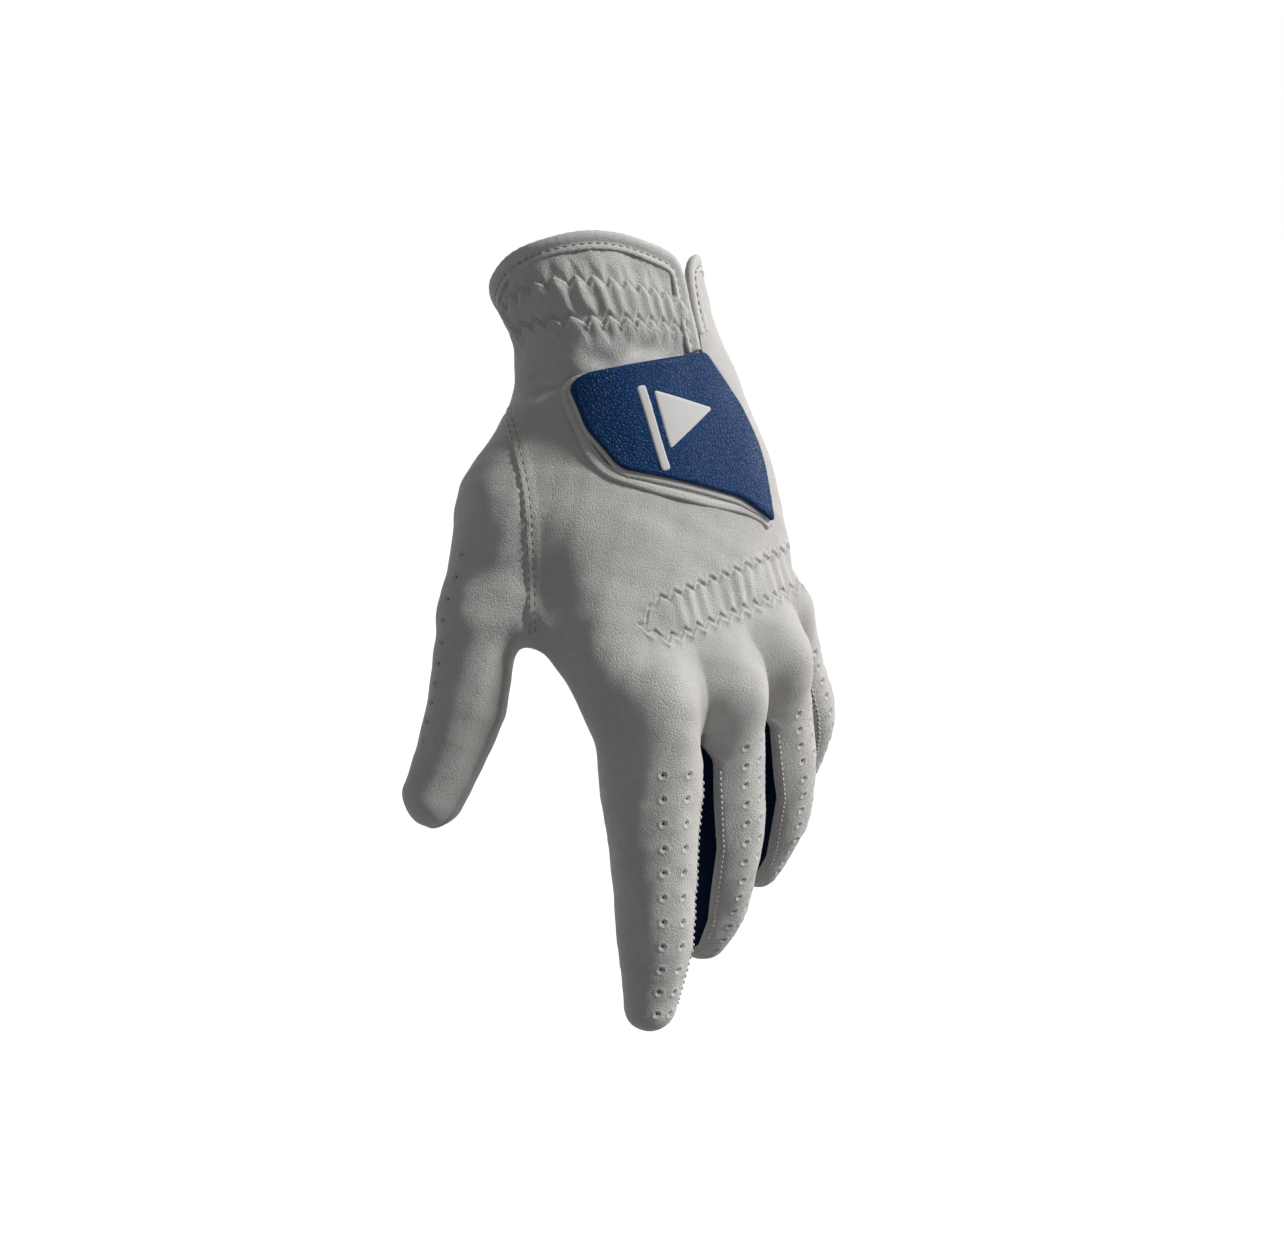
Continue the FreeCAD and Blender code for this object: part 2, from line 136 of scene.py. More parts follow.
# Per finger: knuckle to root hinge, length and bend of the tip, radii from knuckle to tip,
# and turn of its back round the finger.
FINGER_SHAPE = {
    "index": dict(knuckle=25.5, tip=19.0, bend=6.0, radii=(15.2, 14.1, 12.2, 10.4, 7.9), roll=-4.0),
    "middle": dict(knuckle=24.0, tip=17.0, bend=11.0, radii=(12.4, 11.8, 11.2, 9.6, 7.7), roll=3.0),
    "ring": dict(knuckle=25.5, tip=16.0, bend=12.0, radii=(11.6, 11.0, 10.5, 9.1, 7.4), roll=4.0),
    "little": dict(knuckle=22.0, tip=15.0, bend=12.0, radii=(7.6, 8.6, 9.2, 8.2, 6.9), roll=14.0),
}
SPINE_PARTS = 3
THUMB_TIP = (-76.2, 45.0, -129.0)
THUMB_RADII = (11.0, 11.2, 8.7)
THUMB_HEEL = (-12.0, 8.0, -38.0, 17.0)
THUMB_BALL = (-37.5, 17.0, -60.5, 16.2)


def smooth_spine(knots, starts):
    """A rounded run of points with radii through the knots of a digit."""
    slopes = np.gradient(knots, starts, axis=0)
    rows = [knots[0]]
    for k in range(len(knots) - 1):
        long = starts[k + 1] - starts[k]
        for t in np.arange(1, SPINE_PARTS + 1) / SPINE_PARTS:
            near, far = (1 + 2 * t) * (1 - t) ** 2, t * t * (3 - 2 * t)
            rows.append(near * knots[k] + far * knots[k + 1]
                        + long * (t * (1 - t) ** 2 * slopes[k] - t * t * (1 - t) * slopes[k + 1]))
    return np.array(rows)


class Digit:
    """A finger or the thumb: a chain of points with radii, and coordinates round it."""

    def __init__(self, points, radii, axis, roll):
        self.points = np.array(points, float)
        self.radii = np.array(radii, float)
        self.axis = unit(axis)
        self.roll = math.radians(roll)
        steps = np.diff(self.points, axis=0)
        self.lengths = np.linalg.norm(steps, axis=1)
        self.ways = steps / self.lengths[:, None]
        self.starts = run_places(self.points)
        self.spine = smooth_spine(np.column_stack([self.points, self.radii]), self.starts)

    def distance(self, p):
        """Signed distance to the digit's skin."""
        best = None
        for a, b in zip(self.spine[:-1], self.spine[1:]):
            d = stick_distance(p, a, b)
            best = d if best is None else np.minimum(best, d)
        return best

    def back(self, along):
        """The direction that the digit's back faces at places along it."""
        mids = (self.starts[:-1] + self.starts[1:]) / 2
        back = interpolated(along, mids, np.cross(self.ways, self.axis))
        return back / np.linalg.norm(back, axis=1)[:, None]

    def coordinates(self, p):
        """Place along the digit, place to the side, height over the centre line, radius."""
        along = np.zeros(len(p))
        nearest = np.full(len(p), 1e9)
        offset = np.zeros_like(p)
        for k, long in enumerate(self.lengths):
            t = (p - self.points[k]) @ self.ways[k]
            t = np.clip(t, -1e9 if k == 0 else 0, 1e9 if k == len(self.lengths) - 1 else long)
            out = p - (self.points[k] + t[:, None] * self.ways[k])
            d = np.linalg.norm(out, axis=1)
            use = d < nearest
            nearest[use] = d[use]
            along[use] = self.starts[k] + t[use]
            offset[use] = out[use]
        back = self.back(along)
        side = offset @ self.axis
        over = np.einsum("ij,ij->i", offset, back)
        c, s = math.cos(self.roll), math.sin(self.roll)
        radius = np.interp(along, self.starts, self.radii)
        return along, side * c + over * s, over * c - side * s, radius


def finger_digit(name):
    shape = FINGER_SHAPE[name]
    root, mid, end = (pivot(f"{name}_{k}_hinge") for k in ("root", "middle", "tip"))
    axis = unit(JOINTS[f"{name}_root_hinge"]["axis"])
    first = unit(mid - root)
    last = turned(unit(end - mid), axis, shape["bend"])
    points = [root - first * shape["knuckle"], root, mid, end, end + last * shape["tip"]]
    return Digit(points, shape["radii"], axis, shape["roll"])


def thumb_digit():
    root, mid = pivot("thumb_root_hinge"), pivot("thumb_tip_hinge")
    return Digit([root, mid, THUMB_TIP], THUMB_RADII, JOINTS["thumb_root_hinge"]["axis"], 0.0)


DIGITS = {name: finger_digit(name) for name in FINGERS}
DIGITS["thumb"] = thumb_digit()
NAMES = tuple(DIGITS)
INDEX, LITTLE, THUMB = (NAMES.index(name) for name in ("index", "little", "thumb"))

# Hand sections: height, centre x and y, half width, half depth.
SECTIONS = np.array([
    (14, -1.0, 0.0, 30.4, 23.0),
    (0, -0.5, 0.0, 30.4, 22.2),
    (-16, 0.8, 0.0, 30.0, 20.8),
    (-30, 2.2, 0.5, 28.3, 19.4),
    (-45, 2.5, 1.5, 31.5, 18.6),
    (-60, 3.0, 2.0, 34.2, 18.0),
    (-75, 2.3, 2.5, 36.2, 17.2),
    (-90, 0.0, 3.0, 37.4, 16.4),
    (-105, -3.0, 3.2, 37.4, 15.4),
    (-120, -6.8, 4.0, 39.2, 14.0),
    (-135, -7.2, 5.5, 38.8, 12.4),
    (-160, -7.0, 8.0, 36.5, 11.0),
], float)[::-1]
SECTION_POWER = 2.3
WEB_LINE = np.array([(-60, -124), (-34, -131), (-18, -134), (8, -133), (28, -121), (44, -114)], float)
# Straight fillets of skin from the thumb to the hand: x, y, z and radius of both ends.
THUMB_FILL = ((-32.0, 8.0, -64.0, 11.8), (-34.0, 7.0, -98.0, 9.0))
THUMB_WEB = ((-49.0, 21.0, -82.0, 7.0), (-36.8, 6.0, -102.6, 8.0))
# The gap kept open between neighbouring fingers: half its width, and its drop below the web.
CLEFT_HALF, CLEFT_DROP = 0.65, 2.0
# How softly the parts of the hand run into each other.
WEB_BLEND, FINGER_BLEND, CLEFT_BLEND, BALL_BLEND = 12.0, 7.0, 0.8, 8.0
THUMB_BLEND, THUMB_WEB_BLEND, THUMB_FILL_BLEND, HAND_BLEND = 4.0, 9.0, 7.0, 14.0


def section_table(count=160, window=25):
    """The sections resampled evenly along z and rounded off by a sliding average."""
    z = np.linspace(SECTIONS[0, 0], SECTIONS[-1, 0], count)
    kernel = np.hanning(window)
    kernel /= kernel.sum()
    rows = [np.interp(z, SECTIONS[:, 0], c) for c in SECTIONS.T[1:]]
    padded = [np.pad(c, window // 2, mode="reflect", reflect_type="odd") for c in rows]
    return z, [np.convolve(c, kernel, "valid") for c in padded]


SECTION_Z, SECTION_ROWS = section_table()


def section_at(z):
    return [np.interp(z, SECTION_Z, row) for row in SECTION_ROWS]


def web_height(p):
    """Height at which the palm ends and the gaps between the fingers begin."""
    return np.interp(p[:, 0], WEB_LINE[:, 0], WEB_LINE[:, 1])


def palm_distance(p):
    cx, cy, wide, deep = section_at(p[:, 2])
    dx, dy = np.abs(p[:, 0] - cx), np.abs(p[:, 1] - cy)
    rho = ((dx / wide) ** SECTION_POWER + (dy / deep) ** SECTION_POWER) ** (1 / SECTION_POWER)
    slope = np.hypot(dx / wide ** 2, dy / deep ** 2) + 1e-9
    body = (rho - 1) * np.clip(np.maximum(rho, 0.05) / slope, deep * 0.8, wide) * 0.95
    return smooth_max(body, web_height(p) - p[:, 2], WEB_BLEND)


def stick_distance(p, start, end):
    a, b = np.array(start[:3]), np.array(end[:3])
    t = np.clip((p - a) @ (b - a) / ((b - a) @ (b - a)), 0, 1)
    out = np.linalg.norm(p - (a + t[:, None] * (b - a)), axis=1)
    return out - (start[3] + t * (end[3] - start[3]))


def glove_distance(p):
    """Signed distance to the outside of the glove, without its fine detail."""
    nearest, second = np.partition(np.stack([DIGITS[name].distance(p) for name in FINGERS]), 1, axis=0)[:2]
    hand = smooth_min(palm_distance(p), nearest, FINGER_BLEND)
    cleft = CLEFT_HALF - (second - nearest) / 2
    hand = smooth_max(hand, np.minimum(cleft, web_height(p) - CLEFT_DROP - p[:, 2]), CLEFT_BLEND)
    thumb = DIGITS["thumb"]
    root = (*thumb.points[0], thumb.radii[0])
    heel = stick_distance(p, THUMB_HEEL, THUMB_BALL)
    whole = smooth_min(heel, stick_distance(p, THUMB_BALL, root), BALL_BLEND)
    whole = smooth_min(whole, thumb.distance(p), THUMB_BLEND)
    whole = smooth_min(whole, stick_distance(p, *THUMB_WEB), THUMB_WEB_BLEND)
    whole = smooth_min(whole, stick_distance(p, *THUMB_FILL), THUMB_FILL_BLEND)
    return smooth_min(hand, whole, HAND_BLEND)


def field_slope(field, p, step=0.2):
    g = np.stack([field(p + step * e) - field(p - step * e) for e in np.eye(3)], 1) / (2 * step)
    size = np.linalg.norm(g, axis=1)
    return g / np.maximum(size, 1e-9)[:, None], size


def settle(field, p, rounds=2):
    """Moves points onto the zero surface of a field."""
    for _ in range(rounds):
        way, size = field_slope(field, p)
        p = p - way * np.clip(field(p) / np.maximum(size, 0.3), -1.5, 1.5)[:, None]
    return p


# ---------------------------------------------------------------- surface mesh


def surface_net(field, low, high, step, coarse=4):
    """Triangles of the zero surface of a field, on a grid refined only near the surface."""
    shape = (np.ceil((high - low) / (step * coarse)).astype(int) + 1) * coarse
    blocks = shape // coarse
    corner = np.stack(np.meshgrid(*[np.arange(b) for b in blocks], indexing="ij"), -1).reshape(-1, 3)
    middle = low + (corner + 0.5) * step * coarse
    near = np.abs(field(middle)) < step * coarse * 1.5
    local = np.stack(np.meshgrid(*[np.arange(coarse + 1)] * 3, indexing="ij"), -1).reshape(-1, 3)
    wanted = np.zeros(shape + 1, bool)
    for shift in local:
        i, j, k = (corner[near] * coarse + shift).T
        wanted[i, j, k] = True
    where = np.argwhere(wanted)
    value = np.full(wanted.shape, np.nan, np.float32)
    value[tuple(where.T)] = field(low + where * step)
    cell_corners = [(a, b, c) for a in (0, 1) for b in (0, 1) for c in (0, 1)]
    size = tuple(shape)

    def at(a, b, c):
        return value[a:a + size[0], b:b + size[1], c:c + size[2]]

    stack_low = np.minimum.reduce([at(*c) for c in cell_corners])
    stack_high = np.maximum.reduce([at(*c) for c in cell_corners])
    active = (stack_low < 0) & (stack_high >= 0)
    cells = np.argwhere(active)
    number = np.full(size, -1, np.int64)
    number[tuple(cells.T)] = np.arange(len(cells))
    total = np.zeros((len(cells), 3))
    count = np.zeros(len(cells))
    for a in cell_corners:
        for axis in range(3):
            if a[axis] == 1:
                continue
            b = list(a)
            b[axis] = 1
            va = value[tuple((cells + a).T)]
            vb = value[tuple((cells + b).T)]
            cross = (va < 0) != (vb < 0)
            t = np.where(cross, va / np.where(cross, va - vb, 1), 0)
            spot = np.array(a) + np.eye(3)[axis] * t[:, None]
            total += np.where(cross[:, None], spot, 0)
            count += cross
    verts = low + (cells + total / count[:, None]) * step
    quads = []
    one = np.eye(3, dtype=int)
    for axis in range(3):
        u, v = (axis + 1) % 3, (axis + 2) % 3
        va = value[tuple(cells.T)]
        vb = value[tuple((cells + one[axis]).T)]
        cross = (va < 0) != (vb < 0)
        keep = cross & (cells[:, u] > 0) & (cells[:, v] > 0)
        base = cells[keep]
        ring = [number[tuple((base - s).T)] for s in (0 * one[0], one[u], one[u] + one[v], one[v])]
        quad = np.stack(ring, 1)
        flip = va[keep] >= 0
        quad[flip] = quad[flip][:, ::-1]
        quads.append(quad[(quad >= 0).all(1)])
    return verts, np.concatenate(quads)


def relaxed(verts, quads, field, rounds=3):
    """Evens out a net by averaging neighbours, then puts it back on the surface."""
    a = quads.ravel()
    b = np.roll(quads, -1, axis=1).ravel()
    for _ in range(rounds):
        total = np.zeros_like(verts)
        count = np.bincount(a, minlength=len(verts)) + np.bincount(b, minlength=len(verts))
        for k in range(3):
            total[:, k] = np.bincount(a, verts[b, k], len(verts)) + np.bincount(b, verts[a, k], len(verts))
        verts = 0.5 * verts + 0.5 * total / np.maximum(count, 1)[:, None]
    return settle(field, verts)


def halved(quads):
    """Quads split along the diagonal from their first corner."""
    return np.concatenate([quads[:, [0, 1, 2]], quads[:, [0, 2, 3]]])


def as_triangles(verts, quads):
    """Quads split along their shorter diagonal."""
    p = verts[quads]
    first = np.linalg.norm(p[:, 0] - p[:, 2], axis=1) <= np.linalg.norm(p[:, 1] - p[:, 3], axis=1)
    return halved(np.where(first[:, None], quads, np.roll(quads, -1, axis=1)))


def edge_ids(tris):
    """Unique edges of the triangles, and each triangle's three edge numbers."""
    pairs = np.sort(np.stack([tris, np.roll(tris, -1, axis=1)], 2), axis=2).reshape(-1, 2)
    key = pairs[:, 0].astype(np.int64) * (tris.max() + 1) + pairs[:, 1]
    _, first, inverse = np.unique(key, return_index=True, return_inverse=True)
    return pairs[first], inverse.reshape(-1, 3)


def refined(verts, tris, wanted, field):
    """Splits the edges of the wanted triangles in half, and their neighbours to match."""
    edges, of_tri = edge_ids(tris)
    marked = np.zeros(len(edges), bool)
    marked[of_tri[wanted].ravel()] = True
    number = np.full(len(edges), -1)
    number[marked] = len(verts) + np.arange(marked.sum())
    middles = verts[edges[marked]].mean(1)
    verts = np.concatenate([verts, settle(field, middles, 1)])
    m = number[of_tri]
    has = m >= 0
    count = has.sum(1)
    out = [tris[count == 0]]
    t, e = tris[count == 3], m[count == 3]
    out += [np.stack(c, 1) for c in ((t[:, 0], e[:, 0], e[:, 2]), (e[:, 0], t[:, 1], e[:, 1]),
                                     (e[:, 2], e[:, 1], t[:, 2]), (e[:, 0], e[:, 1], e[:, 2]))]
    for k in range(3):
        only = (count == 1) & has[:, k]
        t, e = np.roll(tris[only], -k, axis=1), np.roll(m[only], -k, axis=1)
        out += [np.stack(c, 1) for c in ((t[:, 0], e[:, 0], t[:, 2]), (e[:, 0], t[:, 1], t[:, 2]))]
        pair = (count == 2) & ~has[:, k]
        t, e = np.roll(tris[pair], -k, axis=1), np.roll(m[pair], -k, axis=1)
        out += [np.stack(c, 1) for c in ((t[:, 0], t[:, 1], e[:, 1]), (t[:, 0], e[:, 1], e[:, 2]),
                                         (e[:, 1], t[:, 2], e[:, 2]))]
    return verts, np.concatenate(out)


def cut(verts, tris, labels, level):
    """Cuts triangles along the line where level is 0.  Returns the new mesh, each triangle's
    labels, and whether it lies on the positive side."""
    level = np.where(np.abs(level) < 0.03, 0.0, level)
    sign = np.sign(level).astype(int)
    s = sign[tris]
    crossing = (s.min(1) < 0) & (s.max(1) > 0)
    edges, of_tri = edge_ids(tris)
    split = (sign[edges[:, 0]] * sign[edges[:, 1]]) < 0
    number = np.full(len(edges), -1)
    number[split] = len(verts) + np.arange(split.sum())
    a, b = edges[split].T
    t = level[a] / (level[a] - level[b])
    middles = verts[a] + t[:, None] * (verts[b] - verts[a])
    verts = np.concatenate([verts, middles])
    sign = np.concatenate([sign, np.zeros(len(middles), int)])
    m = number[of_tri]
    out, tags = [tris[~crossing]], [labels[~crossing]]
    for k in range(3):
        t3, e3, s3 = (np.roll(x, -k, axis=1) for x in (tris, m, s))
        lone = crossing & (s3[:, 0] * s3[:, 1] < 0) & (s3[:, 0] * s3[:, 2] < 0)
        t, e = t3[lone], e3[lone]
        out += [np.stack(c, 1) for c in ((t[:, 0], e[:, 0], e[:, 2]), (e[:, 0], t[:, 1], t[:, 2]),
                                         (e[:, 0], t[:, 2], e[:, 2]))]
        tags += [labels[lone]] * 3
        half = crossing & (s3[:, 0] == 0)
        t, e = t3[half], e3[half]
        out += [np.stack(c, 1) for c in ((t[:, 0], t[:, 1], e[:, 1]), (t[:, 0], e[:, 1], t[:, 2]))]
        tags += [labels[half]] * 2
    tris = np.concatenate(out)
    return verts, tris, np.concatenate(tags), sign[tris].sum(1) > 0


# ---------------------------------------------------------------- places on the skin


def outward(start, way, near=0.0, far=40.0):
    """Where rays that start inside the glove come out of it."""
    low = np.full(len(start), float(near))
    high = np.full(len(start), float(far))
    for _ in range(22):
        middle = (low + high) / 2
        inside = glove_distance(start + way * middle[:, None]) < 0
        low = np.where(inside, middle, low)
        high = np.where(inside, high, middle)
    return start + way * low[:, None]


def skin_at(digit, along, degrees):
    """Points on a digit's skin, by place along it and angle from its back to its side."""
    along, degrees = np.broadcast_arrays(np.asarray(along, float), np.asarray(degrees, float))
    k = np.clip(np.searchsorted(digit.starts, along, side="right") - 1, 0, len(digit.lengths) - 1)
    centre = digit.points[k] + (along - digit.starts[k])[:, None] * digit.ways[k]
    angle = np.radians(degrees) + digit.roll
    way = digit.back(along) * np.cos(angle)[:, None] + digit.axis * np.sin(angle)[:, None]
    return outward(centre, way, 2.0, 22.0)


def back_of_hand(x, z):
    """Points on the back of the hand, above places given by x and z."""
    _, cy, _, _ = section_at(z)
    start = np.stack([x, cy, z], 1)
    return outward(start, np.tile([0.0, -1.0, 0.0], (len(x), 1)), 0.0, 45.0)


def round_wrist(degrees, z):
    """Points round the wrist, by angle from the back (0) towards the little finger (90)."""
    cx, cy, _, _ = section_at(z)
    t = np.radians(degrees)
    start = np.stack([cx, cy, z], 1)
    return outward(start, np.stack([np.sin(t), -np.cos(t), 0 * t], 1), 5.0, 60.0)


def wrist_angle(p):
    """Angle round the wrist in degrees, as round_wrist takes it."""
    cx, cy, _, _ = section_at(p[:, 2])
    return np.degrees(np.arctan2(p[:, 0] - cx, -(p[:, 1] - cy)))


# ---------------------------------------------------------------- seams and zones

# Height of the cuff's cut edge by angle round the wrist, from the palm through the thumb side.
RIM = np.array([(-180, -13.0), (-150, -12.0), (-126, -8.0), (-108, -1.0), (-92, 3.6), (-77, 5.9),
                (-62, 6.8), (-37, 5.6), (-11, 1.6), (17, -4.8), (40, -10.4), (52, -9.2), (64, -8.6),
                (76, -11.5), (90, -17.0), (110, -19.0), (140, -15.5), (180, -13.0)])


def rim_table(count=361, window=31):
    angle = np.linspace(-180, 180, count)
    kernel = np.hanning(window)
    height = np.interp(angle, RIM[:, 0], RIM[:, 1])
    height = np.convolve(np.pad(height[:-1], window // 2, mode="wrap"), kernel / kernel.sum(), "valid")
    return angle, np.append(height, height[0])


RIM_ANGLES, RIM_HEIGHTS = rim_table()


def rim_height(p):
    """Height of the cuff's cut edge at the angle of each point."""
    return np.interp(wrist_angle(p), RIM_ANGLES, RIM_HEIGHTS)


# How softly the rim runs into the slit.
SLIT_ROUND = 7.0
# Middle of the slit in the cuff: height, x and half width, down the back of the wrist.
SLIT = np.array([(6, 17.0, 2.4), (-9, 15.1, 1.8), (-20, 13.2, 1.0), (-34, 12.8, 0.7), (-60, 17.0, 0.7),
                 (-84, 23.0, 0.9), (-89.5, 24.9, 0.0)])[::-1]


def slit_level(p):
    """Positive inside the slit of the cuff, which runs down the back of the wrist."""
    middle = np.interp(p[:, 2], SLIT[:, 0], SLIT[:, 1])
    half = np.interp(p[:, 2], SLIT[:, 0], SLIT[:, 2])
    level = half - np.abs(p[:, 0] - middle)
    return np.where((p[:, 1] < 0) & (p[:, 2] > SLIT[0, 0] - 0.5), level, -9.0)


# Level of what is well outside a panel.
FAR_OUT = -5.0


# Knit strips: half width as a share of the finger's radius, where they start from the
# knuckle, how far they reach past the fingertip's centre, and the lengths of their tapers.
GUSSET_SHARE = 0.56
GUSSET_FIRST = 12.0
GUSSET_TIP = 7.0
GUSSET_TAPER = 12.0
GUSSET_ROOT = (-3.0, 7.0)


def nearest_digit(p):
    distances = np.stack([DIGITS[n].distance(p) for n in NAMES], 1)
    return distances.argmin(1), distances


def finger_fields(p):
    """For points near the fingers: nearest digit, its coordinates, and the height over the
    finger's centre line as a share of its radius, eased between neighbouring fingers."""
    near, distances = nearest_digit(p)
    names = len(FINGERS)
    weight = np.exp(-np.clip(distances[:, :names] - distances[:, :names].min(1)[:, None], 0, 20) / 0.9)
    weight /= weight.sum(1)[:, None]
    along, side, over, radius = (np.zeros(len(p)) for _ in range(4))
    share = np.zeros(len(p))
    for k, name in enumerate(NAMES):
        a, s, o, r = DIGITS[name].coordinates(p)
        use = near == k
        along[use], side[use], over[use], radius[use] = a[use], s[use], o[use], r[use]
        if k < names:
            share += weight[:, k] * o / np.hypot(s, o)
    return near, along, side, over, radius, share


def gusset_width(along, last):
    """Half width of a gusset as a share of the radius, tapered towards the fingertip."""
    return GUSSET_SHARE * ease(last + GUSSET_TIP - along, 0, GUSSET_TAPER)


def gusset_level(fields):
    """Positive on the knit strips between the fingers, in millimetres from their edge."""
    near, along, side, _, radius, share = fields
    last = np.array([DIGITS[n].starts[-1] for n in NAMES])[near]
    low, high = (GUSSET_FIRST + more for more in GUSSET_ROOT)
    width = gusset_width(along, last) * ease(along, low, high)
    outer_side = (near == INDEX) & (side < 0) | (near == LITTLE) & (side > 0)
    none = outer_side | (near == THUMB) | (along < GUSSET_FIRST)
    return np.where(none, FAR_OUT, (width - np.abs(share)) * radius)


# Thumb seam over the back of the hand: height, and place along the line (0.8, -0.6, 0).
THUMB_SEAM = np.array([(-30, -34.0), (-36, -36.7), (-44, -37.0), (-55, -38.2), (-63, -39.9), (-79, -44.4),
                       (-94, -49.2), (-110, -54.0)])[::-1]
THUMB_SEAM_SIDES = (122.0, -105.0)
THUMB_SEAM_LOW = -88.0
# Side seam between the thumb's back panel and the palm: height, and place along (0.6, 0.8, 0).
PALM_SEAM = np.array([(-20, 8.0), (-30, 7.0), (-60, -2.0), (-84, -5.0), (-110, -3.0)])[::-1]


def thumb_level(p, near):
    """Positive on the thumb's back panel, in millimetres from its seam."""
    along, side, over, radius = DIGITS["thumb"].coordinates(p)
    seam = np.interp(p[:, 2], THUMB_SEAM[:, 0], THUMB_SEAM[:, 1])
    on_hand = seam - (0.8 * p[:, 0] - 0.6 * p[:, 1])
    side_seam = np.interp(p[:, 2], PALM_SEAM[:, 0], PALM_SEAM[:, 1])
    on_hand = np.minimum(on_hand, side_seam - (0.6 * p[:, 0] + 0.8 * p[:, 1]))
    angle = np.degrees(np.arctan2(side, over))
    high, low = THUMB_SEAM_SIDES
    on_thumb = np.minimum(high - angle, angle - low) * math.pi / 180 * radius
    far = ease(along, -10, 8)
    level = on_hand * (1 - far) + on_thumb * far
    level = np.where(along > DIGITS["thumb"].starts[-1] + 20, -FAR_OUT, level)
    return np.where((near != THUMB) & (p[:, 2] < THUMB_SEAM_LOW), FAR_OUT, level)


# Pieces of skin between two bodies: the two bodies each lies between, and where it starts and ends.
ZONES = {}


def add_zone(name, body_a, body_b, start, way, long):
    ZONES[name] = dict(bodies=(body_a, body_b), start=start, end=start + way * long, way=way)


ROOT_BACK = 7.0
for finger in FINGERS:
    d = DIGITS[finger]
    small = finger == "little"
    first, second = d.ways[1], d.ways[2]
    base, mid, tip = (f"{finger}_{part}" for part in ("base", "mid", "tip"))
    add_zone(base, "hand", base, d.points[1] - first * ROOT_BACK, first, 2 * ROOT_BACK)
    back_off = min(10.0, d.lengths[1] - ROOT_BACK - 0.5)
    add_zone(mid, base, mid, d.points[2] - first * back_off, first, 15.0 if small else 19.0)
    add_zone(tip, mid, tip, d.points[3] - second * (6.5 if small else 8.0), second, 13.0 if small else 16.0)
d = DIGITS["thumb"]
add_zone("thumb_base", "hand", "thumb_base", d.points[0] + d.ways[0] * 5, d.ways[0], 13.0)
add_zone("thumb_tip", "thumb_base", "thumb_tip", d.points[0] + d.ways[0] * 19, d.ways[0], 15.0)

# ---------------------------------------------------------------- perforations

# First and last place along the finger, count, and angle of a row from the middle of the back.
HOLE_ROWS = {
    "index": (17.5, 87.0, 11, 16.0),
    "middle": (14.5, 91.0, 13, 15.0),
    "ring": (16.0, 86.0, 13, 16.0),
    "little": (15.0, 66.0, 10, 18.0),
}
HOLE_STAGGER = 0.8
THUMB_HOLES = 10


def hole_places():
    """Centres of the breathing holes: two rows on each finger's back and one on the thumb."""
    spots = []
    for name, (first, last, count, degrees) in HOLE_ROWS.items():
        along = np.linspace(first, last, count)
        for turn in (-degrees, degrees):
            shift = 0.0 if turn < 0 else HOLE_STAGGER
            spots.append(skin_at(DIGITS[name], along + shift, np.full(count, turn)))
    along, degrees = np.linspace(-16, 40, THUMB_HOLES), np.linspace(20, 8, THUMB_HOLES)
    spots.append(skin_at(DIGITS["thumb"], along, degrees))
    return np.concatenate(spots)


# ---------------------------------------------------------------- relief
# Fine shape, as a height along the smooth surface's normal.

# Height and width of each knuckle.
KNUCKLES = {"index": (2.2, 9.5), "middle": (2.6, 8.5), "ring": (2.2, 8.0), "little": (2.0, 7.5)}
# Planes of the two stitch rows round the wrist: height, and slopes along x and y.
WRIST_ROWS = ((-19.4, -0.465, -0.22), (-24.6, -0.371, -0.01))
WRIST_ROW_ENDS = (-110.0, 27.0)
WRIST_PITCH = 4.4
WRIST_RADIUS = 25.0
TOOTH_HIGH, BAND_TOOTH_HIGH = 1.25, 1.0
# The knuckle band: height and slope of its middle line, half height and thumb-side end.
BAND_LINE = (-101.2, -0.02)
BAND_HALF = 5.4
BAND_LEFT = -30.0
BAND_PITCH = 4.4


def row_height(p, row):
    """Distance of points above a stitch row's plane round the wrist."""
    z, ax, ay = WRIST_ROWS[row]
    return (p[:, 2] - z - ax * p[:, 0] - ay * p[:, 1]) / math.sqrt(1 + ax * ax + ay * ay)


def wrist_arc(p):
    """Length round the wrist from the middle of its back, with the stitches' uneven spacing."""
    return np.radians(wrist_angle(p)) * WRIST_RADIUS + 0.25 * ripple(p, 9.0, 5, 4)


def teeth(arc, pitch):
    """Rounded teeth that point up, with sharp valleys, between -1 and 1."""
    saw = np.abs(2 * (arc / pitch - np.floor(arc / pitch + 0.5)))
    return 1 - 2 * saw ** 1.25


